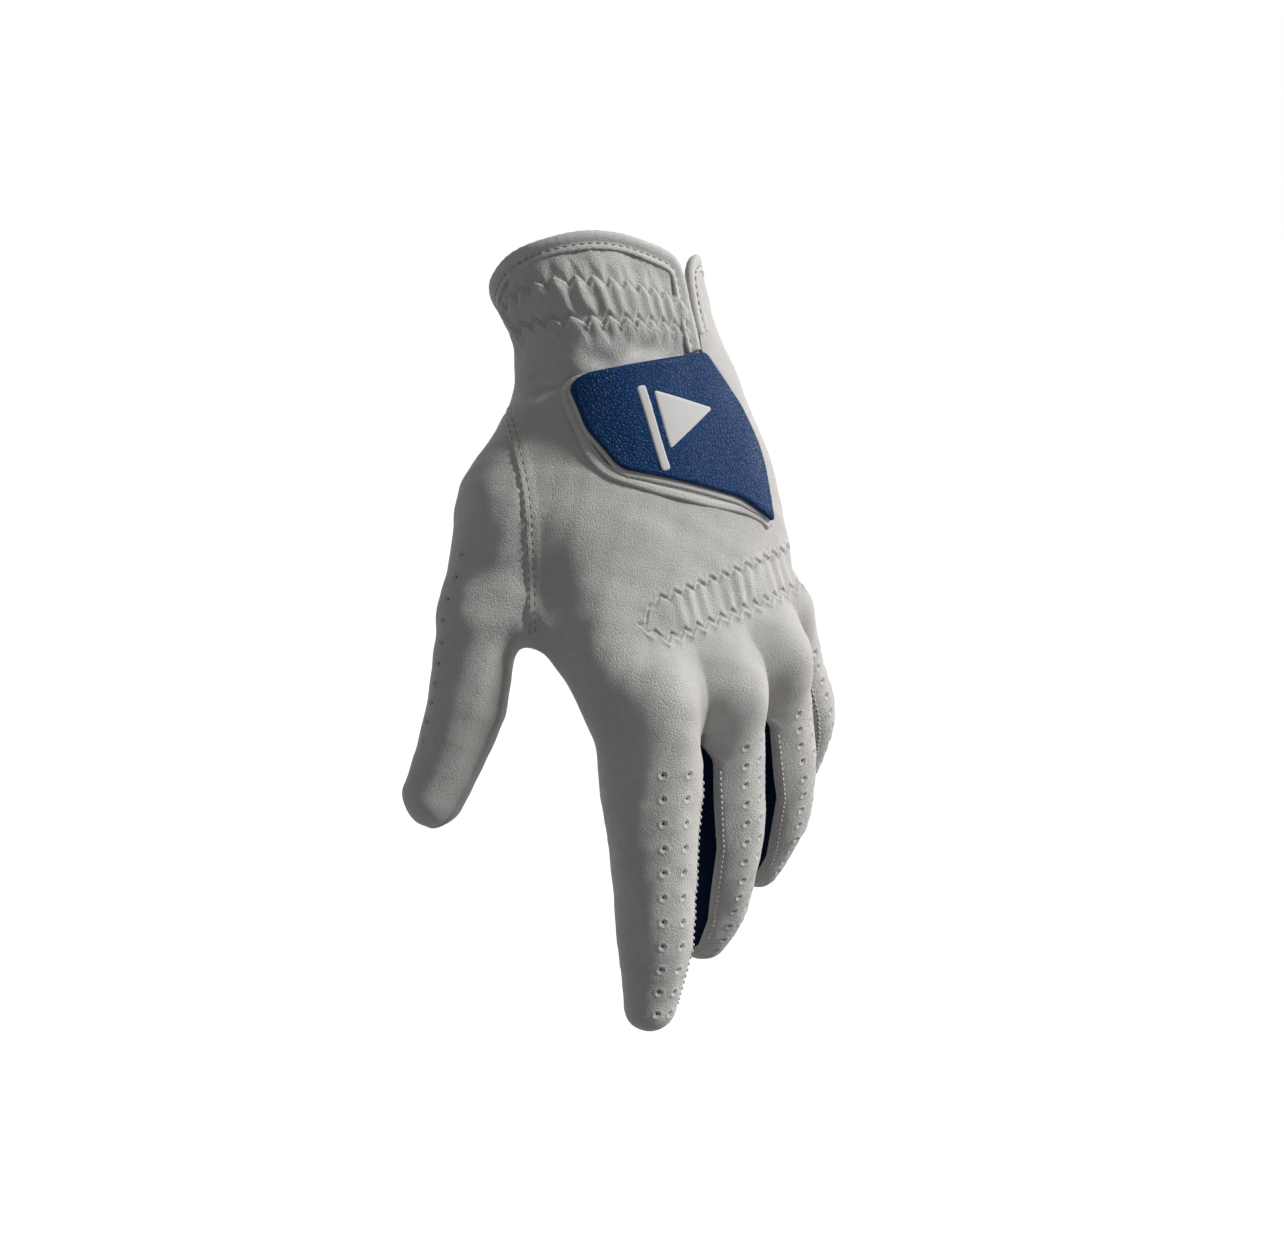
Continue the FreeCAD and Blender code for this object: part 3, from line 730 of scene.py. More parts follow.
def wrist_relief(p):
    """Gathers of the elastic rows over the back of the wrist: below each row of teeth the
    leather stands proud, and above it is drawn in."""
    angle = wrist_angle(p)
    arc = wrist_arc(p)
    on = ease(angle, WRIST_ROW_ENDS[0] - 4, WRIST_ROW_ENDS[0] + 8)
    on = on * (1 - ease(angle, WRIST_ROW_ENDS[1] - 2, WRIST_ROW_ENDS[1] + 2))
    wave = teeth(arc, WRIST_PITCH) * TOOTH_HIGH
    upper = row_height(p, 0) - wave
    lower = row_height(p, 1) - wave
    fine = np.cos(2 * math.pi * arc / WRIST_PITCH)
    valley = np.cos(2 * math.pi * arc / WRIST_PITCH + math.pi)
    wobble = 0.75 + 0.45 * ripple(np.stack([arc, 0 * arc, 0 * arc], 1), 17.0, 3, 4)
    height = np.zeros(len(p))
    for level, rise, drop in ((upper, 0.85, 0.6), (lower, 0.75, 0.6)):
        below = ease(-level, -0.15, 0.55)
        height += below * rise * np.exp(-np.clip(-level, 0, 30) / 3.6)
        height -= (1 - below) * drop * np.exp(-np.clip(level, 0, 30) / 1.5)
    height += 0.16 * valley * wobble * ease(upper, 0.2, 2.2) * (1 - ease(upper, 2, 6))
    height += 0.30 * ripple(p * [1.0, 1.0, 0.7], 9.0, 61, 6) * ease(upper, 1.0, 4.0)
    middle = ease(-upper, 0.5, 2.5) * ease(lower, 0.0, 2.0)
    height += middle * (0.45 + 0.40 * fine * wobble)
    height += 0.30 * fine * wobble * ease(-lower, 0.5, 2.0) * (1 - ease(-lower, 3, 7))
    height -= 0.8 * bump(row_height(p, 1) + 7.5, 5.0)
    return height * on


def band_place(p):
    """Place along the knuckle band and height over its middle line."""
    z, slope = BAND_LINE
    return p[:, 0], p[:, 2] - z - slope * p[:, 0]


def band_half(x):
    """Half height of the knuckle band, which comes to a point at its thumb-side end."""
    return BAND_HALF * np.clip((x - BAND_LEFT) / 6.0, 0, 1)


def band_relief(p):
    """The elastic band sewn across the knuckles, gathered between two rows of teeth."""
    x, up = band_place(p)
    half = band_half(x)
    on = ease(x, BAND_LEFT - 2, BAND_LEFT + 1) * ease(-p[:, 1], -6.0, 2.0)
    fine = np.cos(2 * math.pi * x / BAND_PITCH)
    wobble = 0.7 + 0.4 * ripple(p, 12.0, 31, 4)
    top = up - half - teeth(x, BAND_PITCH) * BAND_TOOTH_HIGH
    bottom = -up - half - teeth(x + BAND_PITCH / 2, BAND_PITCH) * BAND_TOOTH_HIGH
    height = -0.55 * bump(top, 0.45) - 0.55 * bump(bottom, 0.45)
    inside = ease(-top, 0.2, 1.2) * ease(-bottom, 0.2, 1.2)
    height += inside * (0.35 + 0.22 * fine * wobble)
    height += (0.30 - 0.25 * fine * wobble) * (bump(top - 1.1, 1.0) + bump(bottom - 1.1, 1.0))
    return height * on


def knuckle_relief(p):
    height = np.zeros(len(p))
    for name, (high, wide) in KNUCKLES.items():
        digit = DIGITS[name]
        top = skin_at(digit, [1.0], [0.0])[0]
        out = np.linalg.norm((p - top) * [1.0, 0.7, 0.8], axis=1)
        height += high * bump(out, wide)
    for a, b in (("index", "middle"), ("middle", "ring"), ("ring", "little")):
        places = [skin_at(DIGITS[n], [9.0], [0.0])[0] for n in (a, b)]
        dent = (places[0] + places[1]) / 2
        height -= 1.3 * bump(np.linalg.norm((p - dent) * [1.2, 0.8, 0.6], axis=1), 7.0)
    return height


HOLES = hole_places()


def nearest_hole(p):
    """Distance from each point to the nearest breathing hole."""
    best = np.full(len(p), 99.0)
    for spot in HOLES:
        box = np.abs(p - spot).max(1) < 4.0
        if box.any():
            best[box] = np.minimum(best[box], np.linalg.norm(p[box] - spot, axis=1))
    return best


FOLDS = (
    # middle, direction across, length, width, depth
    ((-27.0, 3.0, -29.5), (0.2, 0.1, 1.0), 17.0, 3.6, 2.6),
    ((-28.0, -6.0, -31.0), (0.3, 0.0, 1.0), 12.0, 2.6, 0.8),
    ((-6.6, -18.9, -29.5), (-0.15, 0.0, 1.0), 6.5, 2.4, 1.5),
    ((-19.0, -15.0, -29.0), (0.35, 0.0, 1.0), 6.0, 2.4, 1.2),
    ((-49.0, 12.0, -92.0), (0.75, -0.6, 0.25), 9.0, 2.2, 0.8),
)


def fold_relief(p):
    height = np.zeros(len(p))
    for middle, across, long, wide, deep in FOLDS:
        out = p - np.array(middle)
        way = unit(across)
        gap = out @ way
        rest = np.linalg.norm(out - gap[:, None] * way, axis=1)
        reach = bump(rest, long * 0.6)
        height -= deep * reach * bump(gap, wide)
        height += 0.45 * deep * reach * (bump(gap - 1.9 * wide, wide) + bump(gap + 1.9 * wide, wide))
    return height


def leather_relief(p, near, fields):
    """Height of the leather over the smooth surface."""
    along = fields[1]
    height = 0.35 * ripple(p, 24.0, 11) + 0.10 * ripple(p, 8.0, 12)
    height += knuckle_relief(p) + fold_relief(p)
    wrist = p[:, 2] > -45
    height[wrist] += wrist_relief(p[wrist])
    band = (p[:, 2] < -82) & (p[:, 2] > -122) & (p[:, 1] < 6) & (near != THUMB)
    height[band] += band_relief(p[band])
    gap = -gusset_level(fields)
    edge = (gap < 4.5) & (along > GUSSET_FIRST) & (near != THUMB)
    pleat = np.cos(2 * math.pi * along / 2.3)
    height[edge] += (0.28 * bump(gap - 2.0, 1.1) + 0.10 * pleat * bump(gap - 1.0, 0.8)
                     - 0.55 * (1 - ease(gap, 0, 0.8)))[edge]
    seam = thumb_level(p, near)
    by = (np.abs(seam) < 6) & (p[:, 2] < -33)
    wave = 0.25 * ripple(p, 5.0, 21)
    lap = 0.35 * ease(-seam, -0.3, 0.3) * (1 - ease(-seam, 2.5, 5))
    height[by] += (lap - 0.35 * bump(seam + wave, 0.45) - 0.22 * bump(seam + 2.6, 0.5))[by]
    hole = nearest_hole(p)
    height += 0.16 * bump(hole - 1.25, 0.42) - 0.42 * bump(hole, 0.75) - 0.5 * (1 - ease(hole, 0.22, 0.42))
    return height, hole


GUSSET_DROP = 1.1


def gusset_relief(fields):
    """Height of the knit over the smooth surface: sunk, with a low crown along its middle."""
    share = fields[-1]
    return -GUSSET_DROP + 0.5 * (1 - np.clip(np.abs(share) / GUSSET_SHARE, 0, 1) ** 2)


# ---------------------------------------------------------------- building the skin

NET_STEP = 0.8
NET_LOW, NET_HIGH = np.array([-96.0, -32.0, -222.0]), np.array([62.0, 62.0, 18.0])
CUFF_TOP = 13.0
HOLE_REACHES = (1.9, 1.5)


def build_skin():
    """The whole glove's triangles on its smooth surface, finer at the holes and gathers."""
    verts, quads = surface_net(glove_distance, NET_LOW, NET_HIGH, NET_STEP)
    quads = quads[(verts[quads][:, :, 2].max(1) < CUFF_TOP)]
    verts = relaxed(verts, quads, glove_distance)
    tris = as_triangles(verts, quads)
    for reach in HOLE_REACHES:
        centre = verts[tris].mean(1)
        verts, tris = refined(verts, tris, nearest_hole(centre) < reach, glove_distance)
    centre = verts[tris].mean(1)
    fine = (row_height(centre, 0) < 6) & (row_height(centre, 1) > -3) & (centre[:, 1] < 6)
    band = np.abs(band_place(centre)[1]) < BAND_HALF + 2.5
    fine |= band & (centre[:, 1] < 0) & (centre[:, 0] > BAND_LEFT - 2)
    return refined(verts, tris, fine, glove_distance)


PANELS = ("leather", "gusset", "thumb", "palm")
BODIES = ("hand",) + tuple(ZONES)


def body_before(name):
    """The number in BODIES of the body that a zone joins onto."""
    finger, part = name.split("_")
    if part == "base":
        return 0
    return BODIES.index(f"{finger}_mid" if part == "tip" and finger != "thumb" else f"{finger}_base")


def label_skin(verts, tris):
    """The skin cut along every seam and zone line.  Each triangle gets the number of its panel
    in PANELS and of its zone in BODIES."""
    labels = np.zeros((len(tris), 2), int)
    above = smooth_max(verts[:, 2] - rim_height(verts), slit_level(verts), SLIT_ROUND)
    verts, tris, labels, out = cut(verts, tris, labels, above)
    tris, labels = tris[~out], labels[~out]
    fields = finger_fields(verts)
    verts, tris, labels, on = cut(verts, tris, labels, gusset_level(fields))
    labels[on, 0] = PANELS.index("gusset")
    near = nearest_digit(verts)[0]
    verts, tris, labels, on = cut(verts, tris, labels, thumb_level(verts, near))
    labels[on & (labels[:, 0] == 0), 0] = PANELS.index("thumb")
    for k, name in enumerate(ZONES):
        mine = nearest_digit(verts)[0] == NAMES.index(name.split("_")[0])
        zone = ZONES[name]
        level = np.where(mine, (verts - zone["start"]) @ zone["way"], -1.0)
        verts, tris, labels, on = cut(verts, tris, labels, level)
        labels[on & (labels[:, 1] == body_before(name)), 1] = k + 1
    verts, tris, labels, on = cut(verts, tris, labels, palm_side(verts))
    labels[on & (labels[:, 0] == 0) & (labels[:, 1] == 0), 0] = PANELS.index("palm")
    return verts, tris, labels


def palm_side(p):
    """Positive on the palm half of the hand."""
    return p[:, 1] - 6.0 + 0.04 * p[:, 2]


def tidy(verts, tris, *rows):
    """Drops vertices that no triangle uses."""
    used, back = np.unique(tris, return_inverse=True)
    return (verts[used], back.reshape(tris.shape), *[r[used] for r in rows])


def vertex_normals(verts, tris):
    p = verts[tris]
    normal = np.zeros_like(verts)
    for k in range(3):
        a, b, c = p[:, k], p[:, (k + 1) % 3], p[:, (k + 2) % 3]
        face = np.cross(b - a, c - a)
        face /= np.maximum(np.linalg.norm(face, axis=1), 1e-12)[:, None]
        u, v = b - a, c - a
        sizes = np.linalg.norm(u, axis=1) * np.linalg.norm(v, axis=1)
        cosine = np.einsum("ij,ij->i", u, v) / np.maximum(sizes, 1e-12)
        face *= np.arccos(np.clip(cosine, -1, 1))[:, None]
        for axis in range(3):
            normal[:, axis] += np.bincount(tris[:, k], face[:, axis], len(verts))
    return normal / np.maximum(np.linalg.norm(normal, axis=1), 1e-12)[:, None]


def closed_shell(outer, inner, tris):
    """Triangles of a closed shell between an outer and an inner copy of a surface."""
    pairs = np.concatenate([tris[:, [0, 1]], tris[:, [1, 2]], tris[:, [2, 0]]])
    count = len(outer)
    key = pairs[:, 0] * count + pairs[:, 1]
    reverse = pairs[:, 1] * count + pairs[:, 0]
    a, b = pairs[~np.isin(key, reverse)].T
    walls = np.concatenate([np.stack([b, a, a + count], 1), np.stack([b, a + count, b + count], 1)])
    return np.concatenate([outer, inner]), np.concatenate([tris, tris[:, ::-1] + count, walls])


# ---------------------------------------------------------------- making Blender meshes


def make_object(name, verts, tris, normals=None, rest=None, values=None):
    """A Blender mesh object from millimetre arrays, with its resting place kept as an attribute."""
    mesh = bpy.data.meshes.new(name)
    mesh.vertices.add(len(verts))
    mesh.vertices.foreach_set("co", (verts * MM).astype(np.float32).ravel())
    mesh.loops.add(tris.size)
    mesh.loops.foreach_set("vertex_index", tris.astype(np.int32).ravel())
    mesh.polygons.add(len(tris))
    mesh.polygons.foreach_set("loop_start", np.arange(0, tris.size, tris.shape[1], dtype=np.int32))
    mesh.polygons.foreach_set("use_smooth", np.ones(len(tris), bool))
    mesh.update(calc_edges=True)
    mesh.validate()
    place = verts if rest is None else rest
    attribute = mesh.attributes.new("rest", "FLOAT_VECTOR", "POINT")
    attribute.data.foreach_set("vector", (place * MM).astype(np.float32).ravel())
    for key, value in (values or {}).items():
        attribute = mesh.attributes.new(key, "FLOAT", "POINT")
        attribute.data.foreach_set("value", value.astype(np.float32))
    if normals is not None:
        mesh.normals_split_custom_set_from_vertices(normals.tolist())
    obj = bpy.data.objects.new(name, mesh)
    bpy.context.scene.collection.objects.link(obj)
    return obj


def dress(obj, slot, material, *nodes):
    """Gives a piece its material and hides the CAD nodes that it stands for."""
    obj.data.materials.append(material)
    if nodes:
        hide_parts(*nodes)


def attach(obj, body):
    """Rides a piece on its body; a piece of a zone between two bodies only has its place baked into its
    mesh and rides neither.
    """
    if body in ZONES:
        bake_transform(obj)
    else:
        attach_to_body(obj, body)


# ---------------------------------------------------------------- materials


class Nodes:
    """Short calls for building a node material."""

    def __init__(self, name):
        self.material = bpy.data.materials.new(name)
        self.material.use_nodes = True
        self.tree = self.material.node_tree
        self.shader = self.tree.nodes["Principled BSDF"]
        self.place = self.add("ShaderNodeAttribute", attribute_name="rest").outputs["Vector"]

    def add(self, kind, inputs=None, **settings):
        node = self.tree.nodes.new(kind)
        for key, value in settings.items():
            setattr(node, key, value)
        for key, value in (inputs or {}).items():
            self.put(node.inputs[key], value)
        return node

    def put(self, socket, value):
        if isinstance(value, bpy.types.NodeSocket):
            self.tree.links.new(value, socket)
        else:
            socket.default_value = value

    def noise(self, scale, detail=3.0, rough=0.5):
        return self.add("ShaderNodeTexNoise", {"Vector": self.place, "Scale": scale,
                                               "Detail": detail, "Roughness": rough}).outputs["Fac"]

    def stirred(self, reach, scale):
        """The resting place, shaken by coloured noise."""
        noise = self.add("ShaderNodeTexNoise", {"Vector": self.place, "Scale": scale, "Detail": 2.0})
        inputs = {0: noise.outputs["Color"], "Scale": reach}
        shake = self.add("ShaderNodeVectorMath", inputs, operation="SCALE")
        both = self.add("ShaderNodeVectorMath", {0: self.place, 1: shake.outputs[0]}, operation="ADD")
        return both.outputs[0]

    def cells(self, scale, feature, vector=None):
        inputs = {"Vector": vector or self.place, "Scale": scale, "Randomness": 1.0}
        return self.add("ShaderNodeTexVoronoi", inputs, feature=feature).outputs["Distance"]

    def math(self, kind, a, b=0.0):
        return self.add("ShaderNodeMath", {0: a, 1: b}, operation=kind).outputs[0]

    def ramp(self, value, low, high, start=0.0, end=1.0):
        return self.add("ShaderNodeMapRange", {"Value": value, "From Min": low, "From Max": high,
                                               "To Min": start, "To Max": end}).outputs["Result"]

    def mix(self, factor, a, b):
        return self.add("ShaderNodeMix", {0: factor, 6: a, 7: b}, data_type="RGBA").outputs[2]

    def attribute(self, name):
        return self.add("ShaderNodeAttribute", attribute_name=name).outputs["Fac"]

    def bump(self, height, strength, distance):
        inputs = {"Height": height, "Strength": strength, "Distance": distance}
        return self.add("ShaderNodeBump", inputs).outputs["Normal"]

    def finish(self, colour, roughness, normal=None, **constants):
        self.put(self.shader.inputs["Base Color"], colour)
        self.put(self.shader.inputs["Roughness"], roughness)
        if normal is not None:
            self.put(self.shader.inputs["Normal"], normal)
        for key, value in constants.items():
            self.shader.inputs[key.replace("_", " ")].default_value = value
        return self.material


def rgb(r, g, b):
    return (r, g, b, 1.0)


def leather_material(name, light, dark, grain=1.0):
    """Fine-grained matt glove leather, with painted shade (near-black) in its breathing holes and darker
    lines along the grain's cracks.
    """
    n = Nodes(name)
    pebble = n.cells(1250.0, "DISTANCE_TO_EDGE")
    crackle = n.cells(330.0, "DISTANCE_TO_EDGE", n.stirred(0.0016, 260.0))
    fine = n.noise(2600.0, 4.0, 0.6)
    broad = n.noise(60.0, 3.0)
    bumps = n.math("MULTIPLY", n.ramp(pebble, 0.0, 0.12), 0.6)
    height = n.math("ADD", bumps, n.math("MULTIPLY", fine, 0.5))
    height = n.math("ADD", height, n.math("MULTIPLY", n.ramp(crackle, 0.0, 0.05), 0.35))
    colour = n.mix(n.ramp(broad, 0.3, 0.75), dark, light)
    colour = n.mix(n.ramp(crackle, 0.0, 0.03, 0.25, 0.0), colour, rgb(0.45, 0.42, 0.39))
    # Painted shade: the "hole" attribute paints the breathing holes near-black, standing for the shaded
    # inside of a perforation.
    colour = n.mix(n.attribute("hole"), colour, rgb(0.05, 0.045, 0.04))
    rough = n.ramp(fine, 0.3, 0.7, 0.62, 0.78)
    normal = n.bump(height, 0.65 * grain, 0.0003)
    return n.finish(colour, rough, normal, Specular_IOR_Level=0.32)


def knit_material(name, light, dark):
    """Navy stretch knit: fine ribs of small loops, with painted shade in their low parts."""
    n = Nodes(name)
    split = n.add("ShaderNodeSeparateXYZ", {0: n.place})
    across = n.math("ADD", split.outputs[0], n.math("MULTIPLY", split.outputs[1], 0.6))
    ribs = n.math("SINE", n.math("MULTIPLY", across, 9000.0))
    loops = n.math("SINE", n.math("MULTIPLY", split.outputs[2], 11000.0))
    weave = n.math("MULTIPLY", ribs, loops)
    height = n.math("ADD", n.math("MULTIPLY", ribs, 0.5), n.math("MULTIPLY", weave, 0.5))
    # Painted shade: the colour follows the height of the ribs and loops, dark navy where they are low and
    # lighter where high.
    colour = n.mix(n.ramp(height, -0.8, 0.8), dark, light)
    normal = n.bump(height, 0.5, 0.0002)
    return n.finish(colour, 0.95, normal, Sheen_Weight=0.02, Specular_IOR_Level=0.05)


def pebbled_material(name, light, dark):
    """Embossed navy leather with a rounded pebble grain, with a painted highlight in the middle of each
    pebble and painted shade in the grooves between them.
    """
    n = Nodes(name)
    wobble = n.noise(900.0, 2.0)
    cells = n.cells(950.0, "SMOOTH_F1")
    veins = n.cells(950.0, "DISTANCE_TO_EDGE")
    height = n.math("ADD", n.ramp(veins, 0.0, 0.22), n.math("MULTIPLY", wobble, 0.5))
    # Painted highlight and shade: each pebble is lighter in its middle and darker towards its edge.
    colour = n.mix(n.ramp(cells, 0.1, 0.7), light, dark)
    # Painted shade: the grooves between the pebbles are painted near-black navy.
    colour = n.mix(n.ramp(veins, 0.0, 0.08, 0.55, 0.0), colour, rgb(0.0, 0.012, 0.04))
    rough = n.ramp(veins, 0.0, 0.2, 0.6, 0.45)
    normal = n.bump(height, 0.6, 0.0003)
    return n.finish(colour, rough, normal, Specular_IOR_Level=0.22)


def thread_material(name, light, dark):
    """Twisted sewing thread."""
    n = Nodes(name)
    twist = n.noise(6000.0, 2.0)
    colour = n.mix(twist, dark, light)
    return n.finish(colour, 0.7, n.bump(twist, 0.4, 0.0001), Sheen_Weight=0.2)


def tape_material(name, light, dark, size):
    """Woven or brushed tape, with painted shade in the low parts of its weave."""
    n = Nodes(name)
    split = n.add("ShaderNodeSeparateXYZ", {0: n.place})
    warp = n.math("SINE", n.math("MULTIPLY", split.outputs[0], size))
    weft = n.math("SINE", n.math("MULTIPLY", split.outputs[2], size))
    height = n.math("ADD", n.math("MULTIPLY", warp, weft), n.noise(3000.0, 3.0))
    # Painted shade: the colour follows the height of the weave, darker where it is low.
    colour = n.mix(n.ramp(height, -0.6, 1.4), dark, light)
    return n.finish(colour, 0.9, n.bump(height, 0.5, 0.00025), Sheen_Weight=0.3)


def print_material(name, light, dark):
    """Raised rubbery print with a fine speckle."""
    n = Nodes(name)
    speck = n.noise(2500.0, 3.0)
    colour = n.mix(speck, dark, light)
    return n.finish(colour, n.ramp(speck, 0.3, 0.7, 0.5, 0.65), n.bump(speck, 0.2, 0.0001))


LEATHER = leather_material("white_leather", rgb(0.63, 0.628, 0.62), rgb(0.57, 0.566, 0.555))
BINDING = leather_material("binding_leather", rgb(0.66, 0.66, 0.655), rgb(0.61, 0.608, 0.60), 0.8)
KNIT = knit_material("navy_knit", rgb(0.004, 0.018, 0.065), rgb(0.001, 0.004, 0.018))
NAVY = pebbled_material("navy_leather", rgb(0.001, 0.052, 0.19), rgb(0.001, 0.032, 0.125))
THREAD = thread_material("thread", rgb(0.80, 0.79, 0.77), rgb(0.55, 0.54, 0.52))
# Painted shade: a darker copy of the thread, for stitches that lie sunk in the shade of the leather.
SHADED_THREAD = thread_material("thread_painted_shade", rgb(0.42, 0.40, 0.38), rgb(0.24, 0.23, 0.22))
LINING = tape_material("lining_cloth", rgb(0.78, 0.775, 0.765), rgb(0.6, 0.6, 0.59), 9000.0)
ELASTIC = tape_material("elastic_tape", rgb(0.78, 0.78, 0.77), rgb(0.55, 0.55, 0.54), 5000.0)
HOOK = tape_material("hook_tape", rgb(0.72, 0.72, 0.71), rgb(0.4, 0.4, 0.4), 6500.0)
LOOP = tape_material("loop_tape", rgb(0.74, 0.74, 0.73), rgb(0.55, 0.55, 0.54), 3500.0)
PRINT = print_material("emblem_print", rgb(0.70, 0.70, 0.70), rgb(0.60, 0.60, 0.60))

# ---------------------------------------------------------------- the skin's pieces

PANEL_LOOKS = {"leather": ("glove_leather", LEATHER), "gusset": ("gusset_fabric", KNIT),
               "thumb": ("glove_leather", LEATHER), "palm": ("glove_leather", LEATHER)}


def stands_for(panel, body):
    """The CAD nodes that a panel of one zone replaces."""
    finger = body.split("_")[0]
    if body == "hand":
        return {"leather": ("back_leather",), "palm": ("palm_leather",),
                "thumb": ("thumb_root_back", "thumb_root_palm"),
                "gusset": ("index_middle_web", "middle_ring_web", "ring_little_web")}[panel]
    if finger == "thumb":
        return (f"{body}_back",) if panel == "thumb" else (f"{body}_palm",)
    if finger in ("index", "little"):
        return (f"{body}_gusset",) if panel == "gusset" else (f"{body}_leather",)
    if panel == "gusset":
        return (f"{body}_thumbside_gusset", f"{body}_outer_gusset")
    return (f"{body}_back", f"{body}_palm")


def make_skin():
    verts, tris, labels = label_skin(*build_skin())
    base_normals = field_slope(glove_distance, verts)[0]
    near = nearest_digit(verts)[0]
    fields = finger_fields(verts)
    height, hole = leather_relief(verts, near, fields)
    # Mask of painted shade for the breathing holes: 1 inside each hole, fading to 0 at its rim.
    dark = np.clip(1 - ease(hole, 0.25, 0.42), 0, 1)
    knit = gusset_relief(fields)
    for group, rise, drop in ((("leather", "palm"), height, INNER_DROP), (("thumb",), height, INNER_DROP),
                              (("gusset",), knit, GUSSET_DROP)):
        mine = np.isin(labels[:, 0], [PANELS.index(g) for g in group])
        outer = verts + base_normals * rise[:, None]
        normals = vertex_normals(outer, tris[mine])
        inner = verts - base_normals * (LEATHER_THICK + drop)
        for panel in group:
            for k, body in enumerate(BODIES):
                part = tris[(labels[:, 0] == PANELS.index(panel)) & (labels[:, 1] == k)]
                if len(part):
                    make_piece(panel, body, part, outer, inner, normals, verts, dark)


def make_piece(panel, body, part, outer, inner, normals, verts, dark):
    out, part_tris, inn, nor, rest, hole = tidy(outer, part, inner, normals, verts, dark)
    points, faces = closed_shell(out, inn, part_tris)
    slot, material = PANEL_LOOKS[panel]
    # The "hole" attribute carries the painted shade mask of the breathing holes; the inner shell gets none.
    obj = make_object(f"{body}_{panel}_skin", points, faces, np.concatenate([nor, -nor]),
                      np.concatenate([rest, rest]), {"hole": np.concatenate([hole, 0 * hole])})
    dress(obj, slot, material, *stands_for(panel, body))
    attach(obj, body)


make_skin()

# ---------------------------------------------------------------- sweeps, patches and stitches


def smooth_path(points, step, rounds):
    """A path resampled evenly, after its corners are rounded by averaging."""
    points = np.asarray(points, float)
    for turn in range(rounds + 1):
        place = run_places(points)
        count = max(int(round(place[-1] / step)), 2)
        points = interpolated(np.linspace(0, place[-1], count + 1), place, points)
        if turn < rounds:
            points[1:-1] = (points[:-2] + 2 * points[1:-1] + points[2:]) / 4
    return points


def on_skin(points):
    """Points moved onto the smooth skin, and the skin's normals there."""
    points = settle(glove_distance, points, 3)
    return points, field_slope(glove_distance, points)[0]


def tangents(points):
    way = np.gradient(points, axis=0)
    return way / np.linalg.norm(way, axis=1)[:, None]


def sweep(points, outs, profile, swell=None):
    """A closed tube along a path: its profile is (across, out) pairs, and across points to
    the right of the path seen from outside.  swell scales the profile at each point."""
    way = tangents(points)
    outs = outs - np.einsum("ij,ij->i", outs, way)[:, None] * way
    outs /= np.linalg.norm(outs, axis=1)[:, None]
    across = np.cross(way, outs)
    profile = np.asarray(profile, float)
    scale = np.ones(len(points)) if swell is None else swell
    rings = (points[:, None] + scale[:, None, None] * (profile[None, :, 0, None] * across[:, None]
                                                       + profile[None, :, 1, None] * outs[:, None]))
    count, ring = len(points), len(profile)
    verts = np.concatenate([rings.reshape(-1, 3), points[[0, -1]] + outs[[0, -1]] * profile[:, 1].mean()])
    i, j = np.meshgrid(np.arange(count - 1), np.arange(ring), indexing="ij")
    a, b = i * ring + j, i * ring + (j + 1) % ring
    c, d = b + ring, a + ring
    tris = halved(np.stack([a, b, c, d], -1).reshape(-1, 4))
    j = np.arange(ring)
    first = np.stack([(j + 1) % ring, j, np.full(ring, count * ring)], 1)
    last = np.stack([j, (j + 1) % ring, np.full(ring, count * ring + 1)], 1)
    last[:, :2] += (count - 1) * ring
    tris = np.concatenate([tris, first, last])
    turn = np.einsum("ij,ij->i", verts[tris[:, 0]], np.cross(verts[tris[:, 1]], verts[tris[:, 2]])).sum()
    return verts, tris if turn > 0 else tris[:, ::-1]


# A stitch from end to end: place along it, size and lift as shares of its radius.
STITCH_RINGS = ((0.0, 0.35, -0.9), (0.14, 0.85, -0.1), (0.5, 1.0, 0.25), (0.86, 0.85, -0.1),
                (1.0, 0.35, -0.9))
STITCH_SIDES = 6


def stitches(paths, pitch, radius, cover=0.72):
    """Short thread stitches along paths of points and normals.  Each lies on the leather and
    dives into it at both ends."""
    starts, ends, ups = [], [], []
    for points, outs in paths:
        place = run_places(points)
        count = int(place[-1] / pitch)
        if count < 1:
            continue
        at = np.arange(count) * (place[-1] / count)
        reach = cover * place[-1] / count
        for store, where in ((starts, at), (ends, at + reach)):
            store.append(interpolated(where, place, points))
        ups.append(interpolated(at, place, outs))
    a, b, up = (np.concatenate(x) for x in (starts, ends, ups))
    way = (b - a) / np.maximum(np.linalg.norm(b - a, axis=1), 1e-6)[:, None]
    up = up - np.einsum("ij,ij->i", up, way)[:, None] * way
    up /= np.linalg.norm(up, axis=1)[:, None]
    side = np.cross(way, up)
    around = STITCH_SIDES
    angle = np.arange(around) * 2 * math.pi / around
    verts = []
    for t, size, lift in STITCH_RINGS:
        middle = a + t * (b - a) + up * lift * radius
        for w in angle:
            verts.append(middle + size * radius * (math.cos(w) * side + math.sin(w) * up))
    verts = np.stack(verts, 1)
    count = verts.shape[1]
    faces = []
    for r in range(len(STITCH_RINGS) - 1):
        for k in range(around):
            p, q = r * around + k, r * around + (k + 1) % around
            faces += [(p, q, q + around), (p, q + around, p + around)]
    end = (len(STITCH_RINGS) - 1) * around
    for k in range(1, around - 1):
        faces += [(0, k + 1, k), (end, end + k, end + k + 1)]
    faces = np.array(faces)[:, ::-1]
    shift = (np.arange(len(a)) * count)[:, None, None]
    return verts.reshape(-1, 3), (faces[None] + shift).reshape(-1, 3), (a + b) / 2, count


def zone_of(p):
    """The number in BODIES of the zone that each point belongs to."""
    near = nearest_digit(p)[0]
    number = np.zeros(len(p), int)
    for k, name in enumerate(ZONES):
        mine = near == NAMES.index(name.split("_")[0])
        beyond = (p - ZONES[name]["start"]) @ ZONES[name]["way"] > 0
        number[mine & beyond & (number == body_before(name))] = k + 1
    return number


